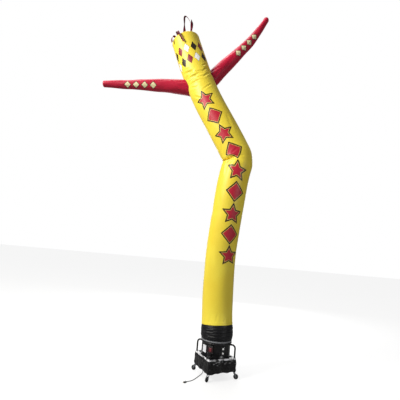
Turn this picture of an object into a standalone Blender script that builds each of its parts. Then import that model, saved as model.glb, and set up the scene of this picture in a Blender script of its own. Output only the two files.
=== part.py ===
"""Inflatable air dancer on its blower.

A tube of light yellow cloth, bent at its middle and closed by a round crown panel with
ribbons, has two tapering red arms. A black sleeve joins its hem to the drum of the blower,
which stands on a square frame with casters. The cloth is a shell one millimetre thick.
Units are metres, +Z is up, -Y is the front, and the origin is on the floor at the middle
of the blower's frame. Bearings are degrees about +Z, or about the tube's own axis, from
the right (+X) towards the back.
"""
import math
from collections import namedtuple

import bmesh
import bpy
from mathutils import Matrix, Vector

# Cloth and clearances
CLOTH = 0.001
GAP = 0.0003
SEAM_GAP = 0.0006

# The inflated tube
TUBE_RADIUS = 0.2276
TUBE_SIDES = 32
SLEEVE_FOOT = 0.480
HEM_START = 0.244
HEM_END = 0.270
HEM_PROUD = 0.0012
HEAD_TOP = 5.05
CROWN_RISE = 0.042
CROWN_SQUARENESS = 4.5
# The crown's sections, as shares of the head's radius
CROWN_SHARES = (1.0, 0.985, 0.94, 0.84, 0.62, 0.32)
AXIS_STEP = 0.01

# How the tube leans, in degrees, at lengths along its axis from the sleeve's lower edge
Lean = namedtuple("Lean", "along side front")
LEANS = (
    Lean(along=0.00, side=0.0, front=0.0),
    Lean(along=0.08, side=-0.8, front=-0.5),
    Lean(along=0.14, side=-1.5, front=-4.0),
    Lean(along=0.27, side=-4.6, front=-5.5),
    Lean(along=0.45, side=-3.1, front=4.5),
    Lean(along=0.80, side=-1.3, front=11.5),
    Lean(along=1.15, side=-0.7, front=13.0),
    Lean(along=1.55, side=3.5, front=12.5),
    Lean(along=1.95, side=5.0, front=11.0),
    Lean(along=2.35, side=5.6, front=8.0),
    Lean(along=2.69, side=13.2, front=3.0),
    Lean(along=2.89, side=-30.1, front=-1.0),
    Lean(along=3.70, side=-30.9, front=-4.0),
    Lean(along=4.12, side=-25.8, front=-3.5),
    Lean(along=4.42, side=-22.6, front=-3.0),
    Lean(along=5.20, side=-20.6, front=-2.5),
)

# How much wider than its usual radius the tube is filled at lengths along it
Girth = namedtuple("Girth", "along extra")
GIRTHS = (
    Girth(along=0.25, extra=0.009),
    Girth(along=0.60, extra=0.007),
    Girth(along=1.00, extra=0.003),
    Girth(along=1.40, extra=0.001),
    Girth(along=2.20, extra=0.006),
    Girth(along=2.60, extra=0.002),
    Girth(along=4.20, extra=0.000),
    Girth(along=4.60, extra=0.005),
    Girth(along=5.05, extra=0.004),
)

# Stretches of the tube and the spacing of their cross sections
Stretch = namedtuple("Stretch", "end spacing")
STRETCHES = (
    Stretch(end=0.31, spacing=0.040),
    Stretch(end=2.54, spacing=0.204),
    Stretch(end=3.02, spacing=0.040),
    Stretch(end=3.90, spacing=0.176),
    Stretch(end=4.08, spacing=0.060),
    Stretch(end=4.44, spacing=0.036),
    Stretch(end=HEAD_TOP, spacing=0.153),
)

# Folds pressed into the tube: a trough where depth is positive, a ridge where it is negative.
# Reach is along the fold's line and breadth across it; slant is the line's angle in degrees
# from running round the tube towards running up it.
Fold = namedtuple("Fold", "along bearing depth reach breadth slant")
TUBE_FOLDS = (
    Fold(along=2.785, bearing=190, depth=0.058, reach=0.21, breadth=0.034, slant=0),
    Fold(along=2.700, bearing=236, depth=0.013, reach=0.12, breadth=0.035, slant=62),
    Fold(along=2.860, bearing=215, depth=-0.010, reach=0.16, breadth=0.040, slant=8),
    Fold(along=2.790, bearing=10, depth=0.008, reach=0.16, breadth=0.045, slant=0),
    Fold(along=4.330, bearing=222, depth=0.015, reach=0.11, breadth=0.026, slant=24),
    Fold(along=4.255, bearing=243, depth=0.012, reach=0.14, breadth=0.028, slant=10),
    Fold(along=4.190, bearing=214, depth=0.009, reach=0.10, breadth=0.026, slant=-14),
    Fold(along=4.300, bearing=330, depth=0.012, reach=0.10, breadth=0.030, slant=-26),
    Fold(along=4.240, bearing=55, depth=0.012, reach=0.12, breadth=0.030, slant=20),
    Fold(along=4.260, bearing=130, depth=0.012, reach=0.12, breadth=0.030, slant=-20),
    Fold(along=3.900, bearing=205, depth=0.008, reach=0.12, breadth=0.040, slant=-30),
    Fold(along=1.950, bearing=200, depth=0.006, reach=0.20, breadth=0.060, slant=12),
)
HEM_TUCKS = 9
SLEEVE_LAP_BELOW = 0.004
SLEEVE_LAP_SHORT = 0.008
HEM_TUCK_DEPTH = 0.0035
HEM_TUCK_FADE = 0.16

# The arms: axis from the tube's axis, its rise in degrees and the arm's radius
ARM_ALONG = 4.14
ARM_BACK = 0.05
ARM_SIDES = 18
ARM_INNER_START = 0.12
ARM_GAP = 0.0022
ARM_TIP_ROUND = 0.022
# How far the arm's tip has closed at its last two sections, in degrees, and the share of its radius drawn in
ARM_TIP_TURNS = (35.0, 65.0)
ARM_TIP_DRAW = 0.7
ArmRow = namedtuple("ArmRow", "out rise radius")
ARM_ROWS = {
    "arm_left": (
        ArmRow(out=0.00, rise=5.5, radius=0.134),
        ArmRow(out=0.30, rise=2.0, radius=0.122),
        ArmRow(out=0.70, rise=-2.6, radius=0.101),
        ArmRow(out=1.15, rise=-4.4, radius=0.075),
        ArmRow(out=1.64, rise=-3.0, radius=0.050),
    ),
    "arm_right": (
        ArmRow(out=0.00, rise=57.0, radius=0.136),
        ArmRow(out=0.30, rise=53.0, radius=0.125),
        ArmRow(out=0.65, rise=50.5, radius=0.107),
        ArmRow(out=1.05, rise=51.5, radius=0.084),
        ArmRow(out=1.35, rise=59.5, radius=0.067),
        ArmRow(out=1.75, rise=64.0, radius=0.043),
    ),
}
ARM_SPACING = 0.125
HOLE_DEPTH = 0.42

# The ribbons: seat on the crown (right and back of its middle), then their way up from it
RIBBON_WIDTH = 0.042
RIBBON_LIFT = 0.0024
Ribbon = namedtuple("Ribbon", "name side back facing")
RIBBONS = (
    Ribbon(name="ribbon_1", side=-0.006, back=-0.190, facing=0),
    Ribbon(name="ribbon_2", side=0.105, back=-0.178, facing=30),
    Ribbon(name="ribbon_3", side=-0.115, back=-0.174, facing=-34),
    Ribbon(name="ribbon_4", side=-0.150, back=-0.100, facing=-56),
    Ribbon(name="ribbon_5", side=0.010, back=0.120, facing=15),
)
RibbonRow = namedtuple("RibbonRow", "side back up twist share")
RIBBON_ROWS = {
    "ribbon_1": (
        RibbonRow(side=0.000, back=0.000, up=0.000, twist=0, share=1.1),
        RibbonRow(side=0.018, back=-0.003, up=0.060, twist=20, share=0.9),
        RibbonRow(side=0.040, back=-0.006, up=0.131, twist=50, share=0.6),
        RibbonRow(side=0.062, back=-0.010, up=0.216, twist=45, share=0.9),
        RibbonRow(side=0.084, back=-0.016, up=0.264, twist=60, share=1.0),
        RibbonRow(side=0.106, back=-0.024, up=0.250, twist=78, share=0.7),
        RibbonRow(side=0.126, back=-0.030, up=0.186, twist=80, share=0.5),
        RibbonRow(side=0.136, back=-0.034, up=0.098, twist=75, share=0.5),
    ),
    "ribbon_2": (
        RibbonRow(side=0.000, back=0.000, up=0.000, twist=0, share=0.7),
        RibbonRow(side=0.022, back=0.010, up=0.056, twist=-20, share=0.8),
        RibbonRow(side=0.048, back=0.014, up=0.126, twist=-10, share=1.1),
        RibbonRow(side=0.064, back=0.010, up=0.172, twist=5, share=1.0),
        RibbonRow(side=0.070, back=0.004, up=0.220, twist=30, share=0.4),
    ),
    "ribbon_3": (
        RibbonRow(side=0.000, back=0.000, up=0.000, twist=0, share=1.0),
        RibbonRow(side=-0.006, back=-0.022, up=0.030, twist=5, share=1.1),
        RibbonRow(side=-0.002, back=-0.058, up=0.022, twist=15, share=0.9),
        RibbonRow(side=0.012, back=-0.079, up=-0.040, twist=20, share=0.7),
        RibbonRow(side=0.026, back=-0.078, up=-0.118, twist=20, share=0.7),
        RibbonRow(side=0.044, back=-0.074, up=-0.200, twist=20, share=0.7),
    ),
    "ribbon_4": (
        RibbonRow(side=0.000, back=0.000, up=0.000, twist=0, share=1.0),
        RibbonRow(side=-0.024, back=-0.014, up=0.026, twist=0, share=1.0),
        RibbonRow(side=-0.054, back=-0.026, up=0.020, twist=5, share=0.9),
        RibbonRow(side=-0.080, back=-0.032, up=-0.030, twist=10, share=0.8),
        RibbonRow(side=-0.087, back=-0.034, up=-0.082, twist=10, share=0.8),
    ),
    "ribbon_5": (
        RibbonRow(side=0.000, back=0.000, up=0.000, twist=0, share=1.0),
        RibbonRow(side=-0.010, back=0.030, up=0.040, twist=15, share=1.0),
        RibbonRow(side=-0.020, back=0.084, up=0.046, twist=30, share=0.9),
        RibbonRow(side=-0.022, back=0.122, up=-0.012, twist=30, share=0.8),
        RibbonRow(side=-0.020, back=0.134, up=-0.090, twist=20, share=0.8),
    ),
}
RIBBON_STEPS = 3

# The sleeve and its strap: inner radius of the sleeve at lengths above its lower edge
SleeveRow = namedtuple("SleeveRow", "along radius")
SLEEVE_ROWS = (
    SleeveRow(along=0.000, radius=0.2325),
    SleeveRow(along=0.010, radius=0.2290),
    SleeveRow(along=0.042, radius=0.2290),
    SleeveRow(along=0.060, radius=0.2360),
    SleeveRow(along=0.090, radius=0.2425),
    SleeveRow(along=0.125, radius=0.2435),
    SleeveRow(along=0.160, radius=0.2445),
    SleeveRow(along=0.205, radius=0.2410),
)
SLEEVE_FOLDS = (
    Fold(along=0.105, bearing=225, depth=0.0045, reach=0.14, breadth=0.014, slant=4),
    Fold(along=0.150, bearing=250, depth=0.0045, reach=0.16, breadth=0.014, slant=-5),
    Fold(along=0.120, bearing=300, depth=0.0040, reach=0.12, breadth=0.014, slant=6),
    Fold(along=0.165, bearing=350, depth=0.0045, reach=0.14, breadth=0.014, slant=-4),
    Fold(along=0.110, bearing=40, depth=0.0045, reach=0.16, breadth=0.014, slant=5),
    Fold(along=0.150, bearing=110, depth=0.0045, reach=0.18, breadth=0.014, slant=-4),
    Fold(along=0.115, bearing=170, depth=0.0045, reach=0.12, breadth=0.014, slant=8),
)
STRAP_START = 0.020
STRAP_WIDTH = 0.020
STRAP_THICKNESS = 0.002

# The blower's drum, with the collar that the sleeve fits round
DRUM_RADIUS = 0.215
DRUM_WALL = 0.002
DRUM_SIDES = 36
DRUM_FOOT_WIDTH = 0.007
DRUM_FOOT_HEIGHT = 0.006
COLLAR_RADIUS = 0.2265
COLLAR_FOOT = 0.486
DRUM_TOP = 0.556

# The base frame: a square of angle section with its front corner turned to the left
FRAME_SIDE = 0.457
FRAME_TURN = 20.0
FRAME_TOP = 0.290
FRAME_FLANGE = 0.032
FRAME_DROP = 0.026
FRAME_WALL = 0.003
FRAME_CORNER = 0.015
CORNER_NAMES = ("front", "right", "back", "left")
LEG_REACH = 0.300
LEG_RADIUS = 0.011
LEG_FOOT = 0.0983

# The handles, from the drum out and down to the frame's left and right corners
HANDLE_RADIUS = 0.0125
HANDLE_REACH = 0.2955
HANDLE_HEIGHT = 0.460
HANDLE_BEND = 0.045
HANDLE_BEND_STEPS = 6

# Casters: a fork that swivels about the leg's axis, and a wheel behind that axis
WHEEL_RADIUS = 0.036
WHEEL_WIDTH = 0.022
WHEEL_SIDES = 24
WHEEL_EDGE = 0.003
CASTER_TRAIL = 0.030
FORK_TOP = 0.0980
FORK_PLATE = 0.004
FORK_WIDTH = 0.030
FORK_SLOT = 0.0240
FORK_CHEEK = 0.012
FORK_PLATE_BACK = 0.013
FORK_PLATE_FRONT = 0.016
SLOT_BACK = 0.020
SLOT_PAST_AXLE = 0.030
Heading = namedtuple("Heading", "corner bearing")
CASTER_HEADINGS = (
    Heading(corner="front", bearing=235),
    Heading(corner="right", bearing=350),
    Heading(corner="back", bearing=62),
    Heading(corner="left", bearing=150),
)

# The cloth skirt round the base frame: folds down it, and how far it hangs
SKIRT_TOP = 0.266
SKIRT_HEM = 0.106
SKIRT_CLEAR = 0.0030
SKIRT_SIDE_POINTS = 11
SKIRT_CORNER_POINTS = 3
SKIRT_ROWS = 6
SkirtFold = namedtuple("SkirtFold", "corner share swell width sag")
SKIRT_FOLDS = (
    SkirtFold(corner="front", share=-0.20, swell=0.012, width=0.10, sag=0.004),
    SkirtFold(corner="front", share=0.10, swell=0.014, width=0.12, sag=0.012),
    SkirtFold(corner="front", share=0.34, swell=0.015, width=0.09, sag=0.002),
    SkirtFold(corner="front", share=0.66, swell=0.013, width=0.08, sag=0.006),
    SkirtFold(corner="right", share=0.10, swell=0.004, width=0.09, sag=0.004),
    SkirtFold(corner="right", share=0.50, swell=0.015, width=0.10, sag=0.002),
    SkirtFold(corner="back", share=0.05, swell=0.012, width=0.10, sag=0.010),
    SkirtFold(corner="back", share=0.45, swell=0.014, width=0.09, sag=0.000),
    SkirtFold(corner="left", share=0.10, swell=0.004, width=0.08, sag=-0.006),
    SkirtFold(corner="left", share=0.48, swell=0.014, width=0.10, sag=0.004),
)

# Fittings on the drum: bearing round it and height of the middle
SWITCH_BEARING = 247.0
SWITCH_HEIGHT = 0.406
SWITCH_BOX = (0.080, 0.104)
SWITCH_BOX_DEPTH = 0.036
ROCKER = (0.032, 0.046)
ROCKER_DEPTH = 0.011
ROCKER_PROUD = 0.004
ROCKER_CLEAR = 0.001
ROCKER_POCKET = 0.012
ROCKER_EDGE = 0.0015
CONTROL_BEARING = 293.4
CONTROL_HEIGHT = 0.394
CONTROL_PLATE = (0.052, 0.122)
CONTROL_PLATE_DEPTH = 0.012
CAP_RADIUS = 0.0130
CAP_DEPTH = 0.008
CAP_PITCH = 0.060
CAP_SIDES = 20
CAP_EDGE = 0.002
LABEL_BEARING = 214.0
LABEL_ARC = 20.0
LABEL_HEIGHT = 0.390
LABEL_TALL = 0.100
LABEL_THICKNESS = 0.0008
LABEL_FLATS = 5
FITTING_ROOT = 0.010
FITTING_EDGE = 0.003

# The mains cord: out of its gland, down inside the frame's front corner, round a coil
# that lies under the back of the frame, and out at the left to its plug
CORD_RADIUS = 0.0050
CORD_FLOOR = 0.0051
CORD_SPACING = 0.024
GLAND_LENGTH = 0.034
GLAND_WIDE = 0.010
GLAND_NARROW = 0.0062
GLAND_SIDES = 12
COIL_CENTRE = (-0.105, 0.215)
COIL_INNER = 0.0400
COIL_OUTER = 0.0692
COIL_HEIGHT = 0.0205
COIL_EDGE = 0.004
COIL_SIDES = 24
CORD_CLEAR = 0.001
FLOOR_GAP = 0.0001
COIL_TURN_OUT = 0.054
COIL_LEAVE = 0.0635
PLUG_START = (-0.4056, -0.3717)
PLUG_HEADING = 224.0
PLUG_LENGTH = 0.042
PLUG_WIDTH = 0.028
PLUG_HEIGHT = 0.019
PLUG_EDGE = 0.003
BLADE = (0.016, 0.0015, 0.0064)
BLADE_PITCH = 0.0127
BLADE_ROOT = 0.006
PLUG_CORD_HEIGHT = 0.0098

# Colours: linear red, green and blue, then roughness and metallic
FINISHES = {
    "yellow ripstop nylon": ((0.86, 0.70, 0.05), 0.55, 0.0),
    "red ripstop nylon": ((0.55, 0.02, 0.06), 0.55, 0.0),
    "dark red ribbon nylon": ((0.28, 0.01, 0.05), 0.60, 0.0),
    "black oxford cloth": ((0.012, 0.012, 0.014), 0.65, 0.0),
    "grey polypropylene webbing": ((0.40, 0.41, 0.43), 0.60, 0.0),
    "black coated nylon": ((0.015, 0.015, 0.018), 0.40, 0.0),
    "black enamelled steel": ((0.010, 0.010, 0.012), 0.35, 0.6),
    "zinc plated steel": ((0.62, 0.63, 0.65), 0.30, 1.0),
    "black rubber": ((0.015, 0.015, 0.015), 0.80, 0.0),
    "black moulded plastic": ((0.012, 0.012, 0.012), 0.45, 0.0),
    "red translucent plastic": ((0.50, 0.02, 0.03), 0.25, 0.0),
    "white moulded plastic": ((0.85, 0.85, 0.86), 0.40, 0.0),
    "grey cord sheath": ((0.06, 0.06, 0.06), 0.50, 0.0),
}


def clear_scene():
    """Take away what a new scene holds."""
    for old in list(bpy.data.objects):
        bpy.data.objects.remove(old, do_unlink=True)


def new_collection(name):
    collection = bpy.data.collections.new(name)
    bpy.context.scene.collection.children.link(collection)
    return collection


def make_finish(name):
    colour, roughness, metallic = FINISHES[name]
    finish = bpy.data.materials.new(name)
    finish.use_nodes = True
    shader = finish.node_tree.nodes["Principled BSDF"]
    shader.inputs["Base Color"].default_value = (*colour, 1.0)
    shader.inputs["Roughness"].default_value = roughness
    shader.inputs["Metallic"].default_value = metallic
    return finish


clear_scene()
PARTS = new_collection("inflatable air dancer")
CUTTERS = new_collection("cutters")
MATERIALS = {name: make_finish(name) for name in FINISHES}


def add_part(name, mesh, finish, smooth_angle=40.0):
    """Link a mesh or curve as one of the named sub-parts, in its own finish."""
    part = bpy.data.objects.new(name, mesh)
    PARTS.objects.link(part)
    mesh.materials.append(MATERIALS[finish])
    if isinstance(mesh, bpy.types.Mesh):
        mesh.shade_smooth()
        mesh.set_sharp_from_angle(angle=math.radians(smooth_angle))
    return part


def add_cutter(name, mesh):
    cutter = bpy.data.objects.new(name, mesh)
    CUTTERS.objects.link(cutter)
    cutter.hide_render = True
    cutter.display_type = "WIRE"
    return cutter


def mesh_from(name, work):
    """Turn a bmesh into a mesh and free it."""
    mesh = bpy.data.meshes.new(name)
    work.normal_update()
    work.to_mesh(mesh)
    work.free()
    return mesh


def boolean(part, other, operation="DIFFERENCE"):
    step = part.modifiers.new(f"{operation.lower()} {other.name}", "BOOLEAN")
    step.operation = operation
    step.object = other
    step.solver = "EXACT"


def as_cloth(part):
    """Give an open surface the cloth's thickness, outside the surface."""
    shell = part.modifiers.new("cloth thickness", "SOLIDIFY")
    shell.thickness = CLOTH
    shell.offset = 1.0


def box_mesh(name, low, high):
    """A box between two corners."""
    work = bmesh.new()
    size = [top - bottom for bottom, top in zip(low, high)]
    middle = [(top + bottom) / 2 for bottom, top in zip(low, high)]
    place = Matrix.Translation(middle) @ Matrix.Diagonal((*size, 1.0))
    bmesh.ops.create_cube(work, size=1.0, matrix=place)
    return mesh_from(name, work)


def rounded_box_mesh(name, low, high, radius):
    """A box between two corners, its upright edges rounded."""
    work = bmesh.new()
    work.from_mesh(box_mesh(name, low, high))
    upright = [edge for edge in work.edges if abs(edge.verts[0].co.z - edge.verts[1].co.z) > radius]
    bmesh.ops.bevel(work, geom=upright, offset=radius, segments=3, profile=0.5, affect="EDGES")
    return mesh_from(name, work)


def cylinder_mesh(name, radius, bottom, top, sides, top_radius=None):
    """An upright cylinder or cone about the Z axis."""
    work = bmesh.new()
    place = Matrix.Translation((0, 0, (top + bottom) / 2))
    bmesh.ops.create_cone(work, cap_ends=True, segments=sides, radius1=radius,
                          radius2=radius if top_radius is None else top_radius,
                          depth=top - bottom, matrix=place)
    return mesh_from(name, work)


def add_bevel(part, width, segments=2, angle=40.0):
    rounding = part.modifiers.new("rounded edges", "BEVEL")
    rounding.width = width
    rounding.segments = segments
    rounding.limit_method = "ANGLE"
    rounding.angle_limit = math.radians(angle)


def loft_mesh(name, rings, tip=None, foot=None):
    """A surface through rings of points, which a tip or a foot point may close."""
    work = bmesh.new()
    layers = [[work.verts.new(point) for point in ring] for ring in rings]
    for low, high in zip(layers, layers[1:]):
        for here in range(len(low)):
            there = (here + 1) % len(low)
            work.faces.new((low[here], low[there], high[there], high[here]))
    if tip is not None:
        end = work.verts.new(tip)
        last = layers[-1]
        for here in range(len(last)):
            work.faces.new((last[here], last[(here + 1) % len(last)], end))
    if foot is not None:
        end = work.verts.new(foot)
        first = layers[0]
        for here in range(len(first)):
            work.faces.new((first[(here + 1) % len(first)], first[here], end))
    return mesh_from(name, work)


def lean_at(along):
    """The tube's lean to the side and to the front at a length along it."""
    for low, high in zip(LEANS, LEANS[1:]):
        if along <= high.along:
            share = max(0.0, (along - low.along) / (high.along - low.along))
            return (low.side + (high.side - low.side) * share,
                    low.front + (high.front - low.front) * share)
    return LEANS[-1].side, LEANS[-1].front


def walk_axis():
    """Centres and directions along the tube's axis, found by following its leans."""
    centre = Vector((0.0, 0.0, SLEEVE_FOOT))
    steps = []
    for index in range(round(LEANS[-1].along / AXIS_STEP) + 1):
        side, front = lean_at(index * AXIS_STEP)
        way = Vector((math.tan(math.radians(side)), -math.tan(math.radians(front)), 1.0))
        steps.append((centre.copy(), way.normalized()))
        centre += way.normalized() * AXIS_STEP
    return steps


AXIS = walk_axis()


def frame_at(along):
    """The tube's centre there, with its directions to the right, to the back and up it."""
    place = min(max(along / AXIS_STEP, 0.0), len(AXIS) - 1.001)
    index = int(place)
    share = place - index
    centre = AXIS[index][0].lerp(AXIS[index + 1][0], share)
    up = AXIS[index][1].lerp(AXIS[index + 1][1], share).normalized()
    right = Vector((0.0, 1.0, 0.0)).cross(up).normalized()
    return centre, right, up.cross(right), up


def fold_depth(folds, along, bearing, radius):
    """How deep the folds press in at a place on a tube of that radius."""
    depth = 0.0
    for fold in folds:
        turn = (bearing - fold.bearing + 180.0) % 360.0 - 180.0
        round_it = math.radians(turn) * radius
        up_it = along - fold.along
        slant = math.radians(fold.slant)
        on_line = round_it * math.cos(slant) + up_it * math.sin(slant)
        off_line = up_it * math.cos(slant) - round_it * math.sin(slant)
        depth += fold.depth * math.exp(-(on_line / fold.reach) ** 2 - (off_line / fold.breadth) ** 2)
    return depth


def girth_at(along):
    """How much wider than usual the tube is filled there."""
    for low, high in zip(GIRTHS, GIRTHS[1:]):
        if along <= high.along:
            share = max(0.0, (along - low.along) / (high.along - low.along))
            return low.extra + (high.extra - low.extra) * share
    return GIRTHS[-1].extra


def tube_radius(along, bearing):
    """Inner radius of the yellow tube, with its hem, tucks and folds."""
    tuck = 0.5 + 0.5 * math.cos(math.radians(bearing * HEM_TUCKS))
    fade = math.exp(-((along - HEM_START) / HEM_TUCK_FADE) ** 2)
    hem = HEM_PROUD if along <= HEM_END else 0.0
    return (TUBE_RADIUS + girth_at(along) + hem - HEM_TUCK_DEPTH * tuck * fade
            - fold_depth(TUBE_FOLDS, along, bearing, TUBE_RADIUS))


def sleeve_radius(along, bearing):
    """Inner radius of the sleeve, which ends just inside the tube's hem."""
    joined = tube_radius(HEM_START, bearing) - CLOTH - 2 * GAP
    rows = SLEEVE_ROWS + (SleeveRow(along=HEM_START - SLEEVE_LAP_BELOW, radius=joined),
                          SleeveRow(along=HEM_END, radius=joined))
    fold = fold_depth(SLEEVE_FOLDS, along, bearing, TUBE_RADIUS)
    for low, high in zip(rows, rows[1:]):
        if along <= high.along + 1e-9:
            share = (along - low.along) / (high.along - low.along)
            return low.radius + (high.radius - low.radius) * share - fold
    return joined


def strap_radius(_along, _bearing):
    """Inner radius of the strap, which is the same all round."""
    return SLEEVE_ROWS[1].radius + CLOTH + GAP


def ring_at(along, radius_at, extra=0.0, sides=TUBE_SIDES):
    """A ring of points round the tube's axis."""
    centre, right, back, _ = frame_at(along)
    ring = []
    for index in range(sides):
        bearing = 360.0 * index / sides
        reach = radius_at(along, bearing) + extra
        turn = math.radians(bearing)
        ring.append(centre + reach * (math.cos(turn) * right + math.sin(turn) * back))
    return ring


def section_places():
    """Lengths along the tube at which it has a cross section."""
    places = [HEM_START, HEM_END, HEM_END + 0.004]
    start = places[-1]
    for stretch in STRETCHES:
        count = max(1, round((stretch.end - start) / stretch.spacing))
        places += [start + (stretch.end - start) * index / count for index in range(1, count + 1)]
        start = stretch.end
    return places


HEAD_RADIUS = TUBE_RADIUS + GIRTHS[-1].extra


def crown_height(reach):
    """Height of the crown over its seam at a distance from its middle."""
    return CROWN_RISE * math.sqrt(max(0.0, 1.0 - (reach / HEAD_RADIUS) ** CROWN_SQUARENESS))


def on_head(side, back, up):
    """A place measured from the middle of the head's top seam."""
    centre, right, behind, above = frame_at(HEAD_TOP)
    return centre + right * side + behind * back + above * up


def arm_axis(rows, outward):
    """Centres and directions along an arm, as it leaves the tube's axis."""
    start, _, back, _ = frame_at(ARM_ALONG)
    centre = start + back * ARM_BACK
    steps = []
    for index in range(round(rows[-1].out / AXIS_STEP) + 1):
        rise = math.radians(arm_value(rows, index * AXIS_STEP, "rise"))
        way = Vector((outward * math.cos(rise), 0.0, math.sin(rise)))
        steps.append((centre.copy(), way))
        centre = centre + way * AXIS_STEP
    return steps


def arm_value(rows, out, column):
    for low, high in zip(rows, rows[1:]):
        if out <= high.out + 1e-9:
            share = (out - low.out) / (high.out - low.out)
            start = getattr(low, column)
            return start + (getattr(high, column) - start) * share
    return getattr(rows[-1], column)


def arm_ring(steps, out, radius):
    centre, way = steps[min(round(out / AXIS_STEP), len(steps) - 1)]
    past = out - min(round(out / AXIS_STEP), len(steps) - 1) * AXIS_STEP
    centre = centre + way * past
    across = way.cross(Vector((0.0, 1.0, 0.0))).normalized()
    behind = way.cross(across)
    ring = []
    for index in range(ARM_SIDES):
        turn = 2 * math.pi * (index + 0.5) / ARM_SIDES
        ring.append(centre + radius * (math.cos(turn) * across + math.sin(turn) * behind))
    return centre, ring


def make_tube():
    """The yellow tube, with holes where the arms are sewn on."""
    rings = [ring_at(along, tube_radius) for along in section_places()]
    tube = add_part("body_tube", loft_mesh("body_tube", rings), "yellow ripstop nylon")
    as_cloth(tube)
    for name, outward in (("arm_left", -1), ("arm_right", 1)):
        rows = ARM_ROWS[name]
        steps = arm_axis(rows, outward)
        rings = []
        for out in (0.0, HOLE_DEPTH):
            rings.append(arm_ring(steps, out, arm_value(rows, out, "radius"))[1])
        ends = [steps[0][0], steps[round(HOLE_DEPTH / AXIS_STEP)][0]]
        cutter = add_cutter(f"{name}_hole", loft_mesh(f"{name}_hole", rings, tip=ends[1], foot=ends[0]))
        boolean(tube, cutter)


def make_envelope():
    """The space that the tube's cloth takes, which the arms are cut back to."""
    rings = [ring_at(along, tube_radius, extra=CLOTH + ARM_GAP) for along in section_places()]
    foot = frame_at(HEM_START)[0]
    tip = frame_at(HEAD_TOP)[0]
    return add_cutter("tube_envelope", loft_mesh("tube_envelope", rings, tip=tip, foot=foot))


def make_arms():
    envelope = make_envelope()
    for name, outward in (("arm_left", -1), ("arm_right", 1)):
        rows = ARM_ROWS[name]
        steps = arm_axis(rows, outward)
        end = rows[-1].out
        count = round((end - ARM_TIP_ROUND - ARM_INNER_START) / ARM_SPACING)
        rings = []
        for index in range(count + 1):
            out = ARM_INNER_START + (end - ARM_TIP_ROUND - ARM_INNER_START) * index / count
            rings.append(arm_ring(steps, out, arm_value(rows, out, "radius"))[1])
        for turn in ARM_TIP_TURNS:
            lift = math.sin(math.radians(turn)) * ARM_TIP_ROUND
            draw = (1.0 - math.cos(math.radians(turn))) * rows[-1].radius * ARM_TIP_DRAW
            rings.append(arm_ring(steps, end - ARM_TIP_ROUND + lift, rows[-1].radius - draw)[1])
        tip = arm_ring(steps, end, 0.0)[0]
        arm = add_part(name, loft_mesh(name, rings, tip=tip), "red ripstop nylon")
        as_cloth(arm)
        boolean(arm, envelope)


def make_crown():
    """The round panel that closes the tube, domed by the air."""
    rings = []
    for share in CROWN_SHARES:
        reach = HEAD_RADIUS * share
        ring = []
        for index in range(TUBE_SIDES):
            turn = 2 * math.pi * index / TUBE_SIDES
            ring.append(on_head(reach * math.cos(turn), reach * math.sin(turn),
                                SEAM_GAP + crown_height(reach)))
        rings.append(ring)
    tip = on_head(0.0, 0.0, SEAM_GAP + CROWN_RISE)
    as_cloth(add_part("crown", loft_mesh("crown", rings, tip=tip), "yellow ripstop nylon"))


def smooth_points(points, steps):
    """Points of a smooth curve through the given ones, with steps between each two."""
    ends = [points[0] * 2 - points[1]] + list(points) + [points[-1] * 2 - points[-2]]
    curve = []
    for before, start, end, after in zip(ends, ends[1:], ends[2:], ends[3:]):
        for index in range(steps):
            t = index / steps
            curve.append(0.5 * (2 * start + (end - before) * t
                                + (2 * before - 5 * start + 4 * end - after) * t ** 2
                                + (3 * start - before - 3 * end + after) * t ** 3))
    curve.append(points[-1].copy())
    return curve


def make_ribbons():
    """Narrow strips sewn to the crown, each curling its own way."""
    for ribbon in RIBBONS:
        rows = RIBBON_ROWS[ribbon.name]
        seat = math.hypot(ribbon.side, ribbon.back)
        base = SEAM_GAP + crown_height(seat) + CLOTH + RIBBON_LIFT
        places = [Vector((ribbon.side + row.side, ribbon.back + row.back, base + row.up)) for row in rows]
        looks = [Vector((ribbon.facing + row.twist, row.share, 0.0)) for row in rows]
        path = smooth_points(places, RIBBON_STEPS)
        looks = smooth_points(looks, RIBBON_STEPS)
        work = bmesh.new()
        edges = []
        for index, place in enumerate(path):
            way = path[min(index + 1, len(path) - 1)] - path[max(index - 1, 0)]
            turn = math.radians(looks[index].x)
            across = Vector((math.cos(turn), math.sin(turn), 0.0))
            if index > 0:
                across = (across - way * (across.dot(way) / way.length_squared)).normalized()
            half = across * RIBBON_WIDTH / 2 * looks[index].y
            edges.append([work.verts.new(on_head(*(place + part))) for part in (-half, half)])
        for low, high in zip(edges, edges[1:]):
            work.faces.new((low[0], low[1], high[1], high[0]))
        strip = add_part(ribbon.name, mesh_from(ribbon.name, work), "dark red ribbon nylon")
        as_cloth(strip)
        strip.modifiers["cloth thickness"].offset = 0.0


def make_sleeve():
    """The black collar between the tube's hem and the drum, and the strap round it."""
    places = [row.along for row in SLEEVE_ROWS]
    places += [HEM_START - SLEEVE_LAP_BELOW, HEM_END - SLEEVE_LAP_SHORT]
    rings = [ring_at(along, sleeve_radius) for along in places]
    as_cloth(add_part("sleeve", loft_mesh("sleeve", rings), "black oxford cloth"))
    places = (STRAP_START, STRAP_START + STRAP_WIDTH)
    rings = [ring_at(along, strap_radius) for along in places]
    strap = add_part("strap", loft_mesh("strap", rings), "grey polypropylene webbing")
    as_cloth(strap)
    strap.modifiers["cloth thickness"].thickness = STRAP_THICKNESS


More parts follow.
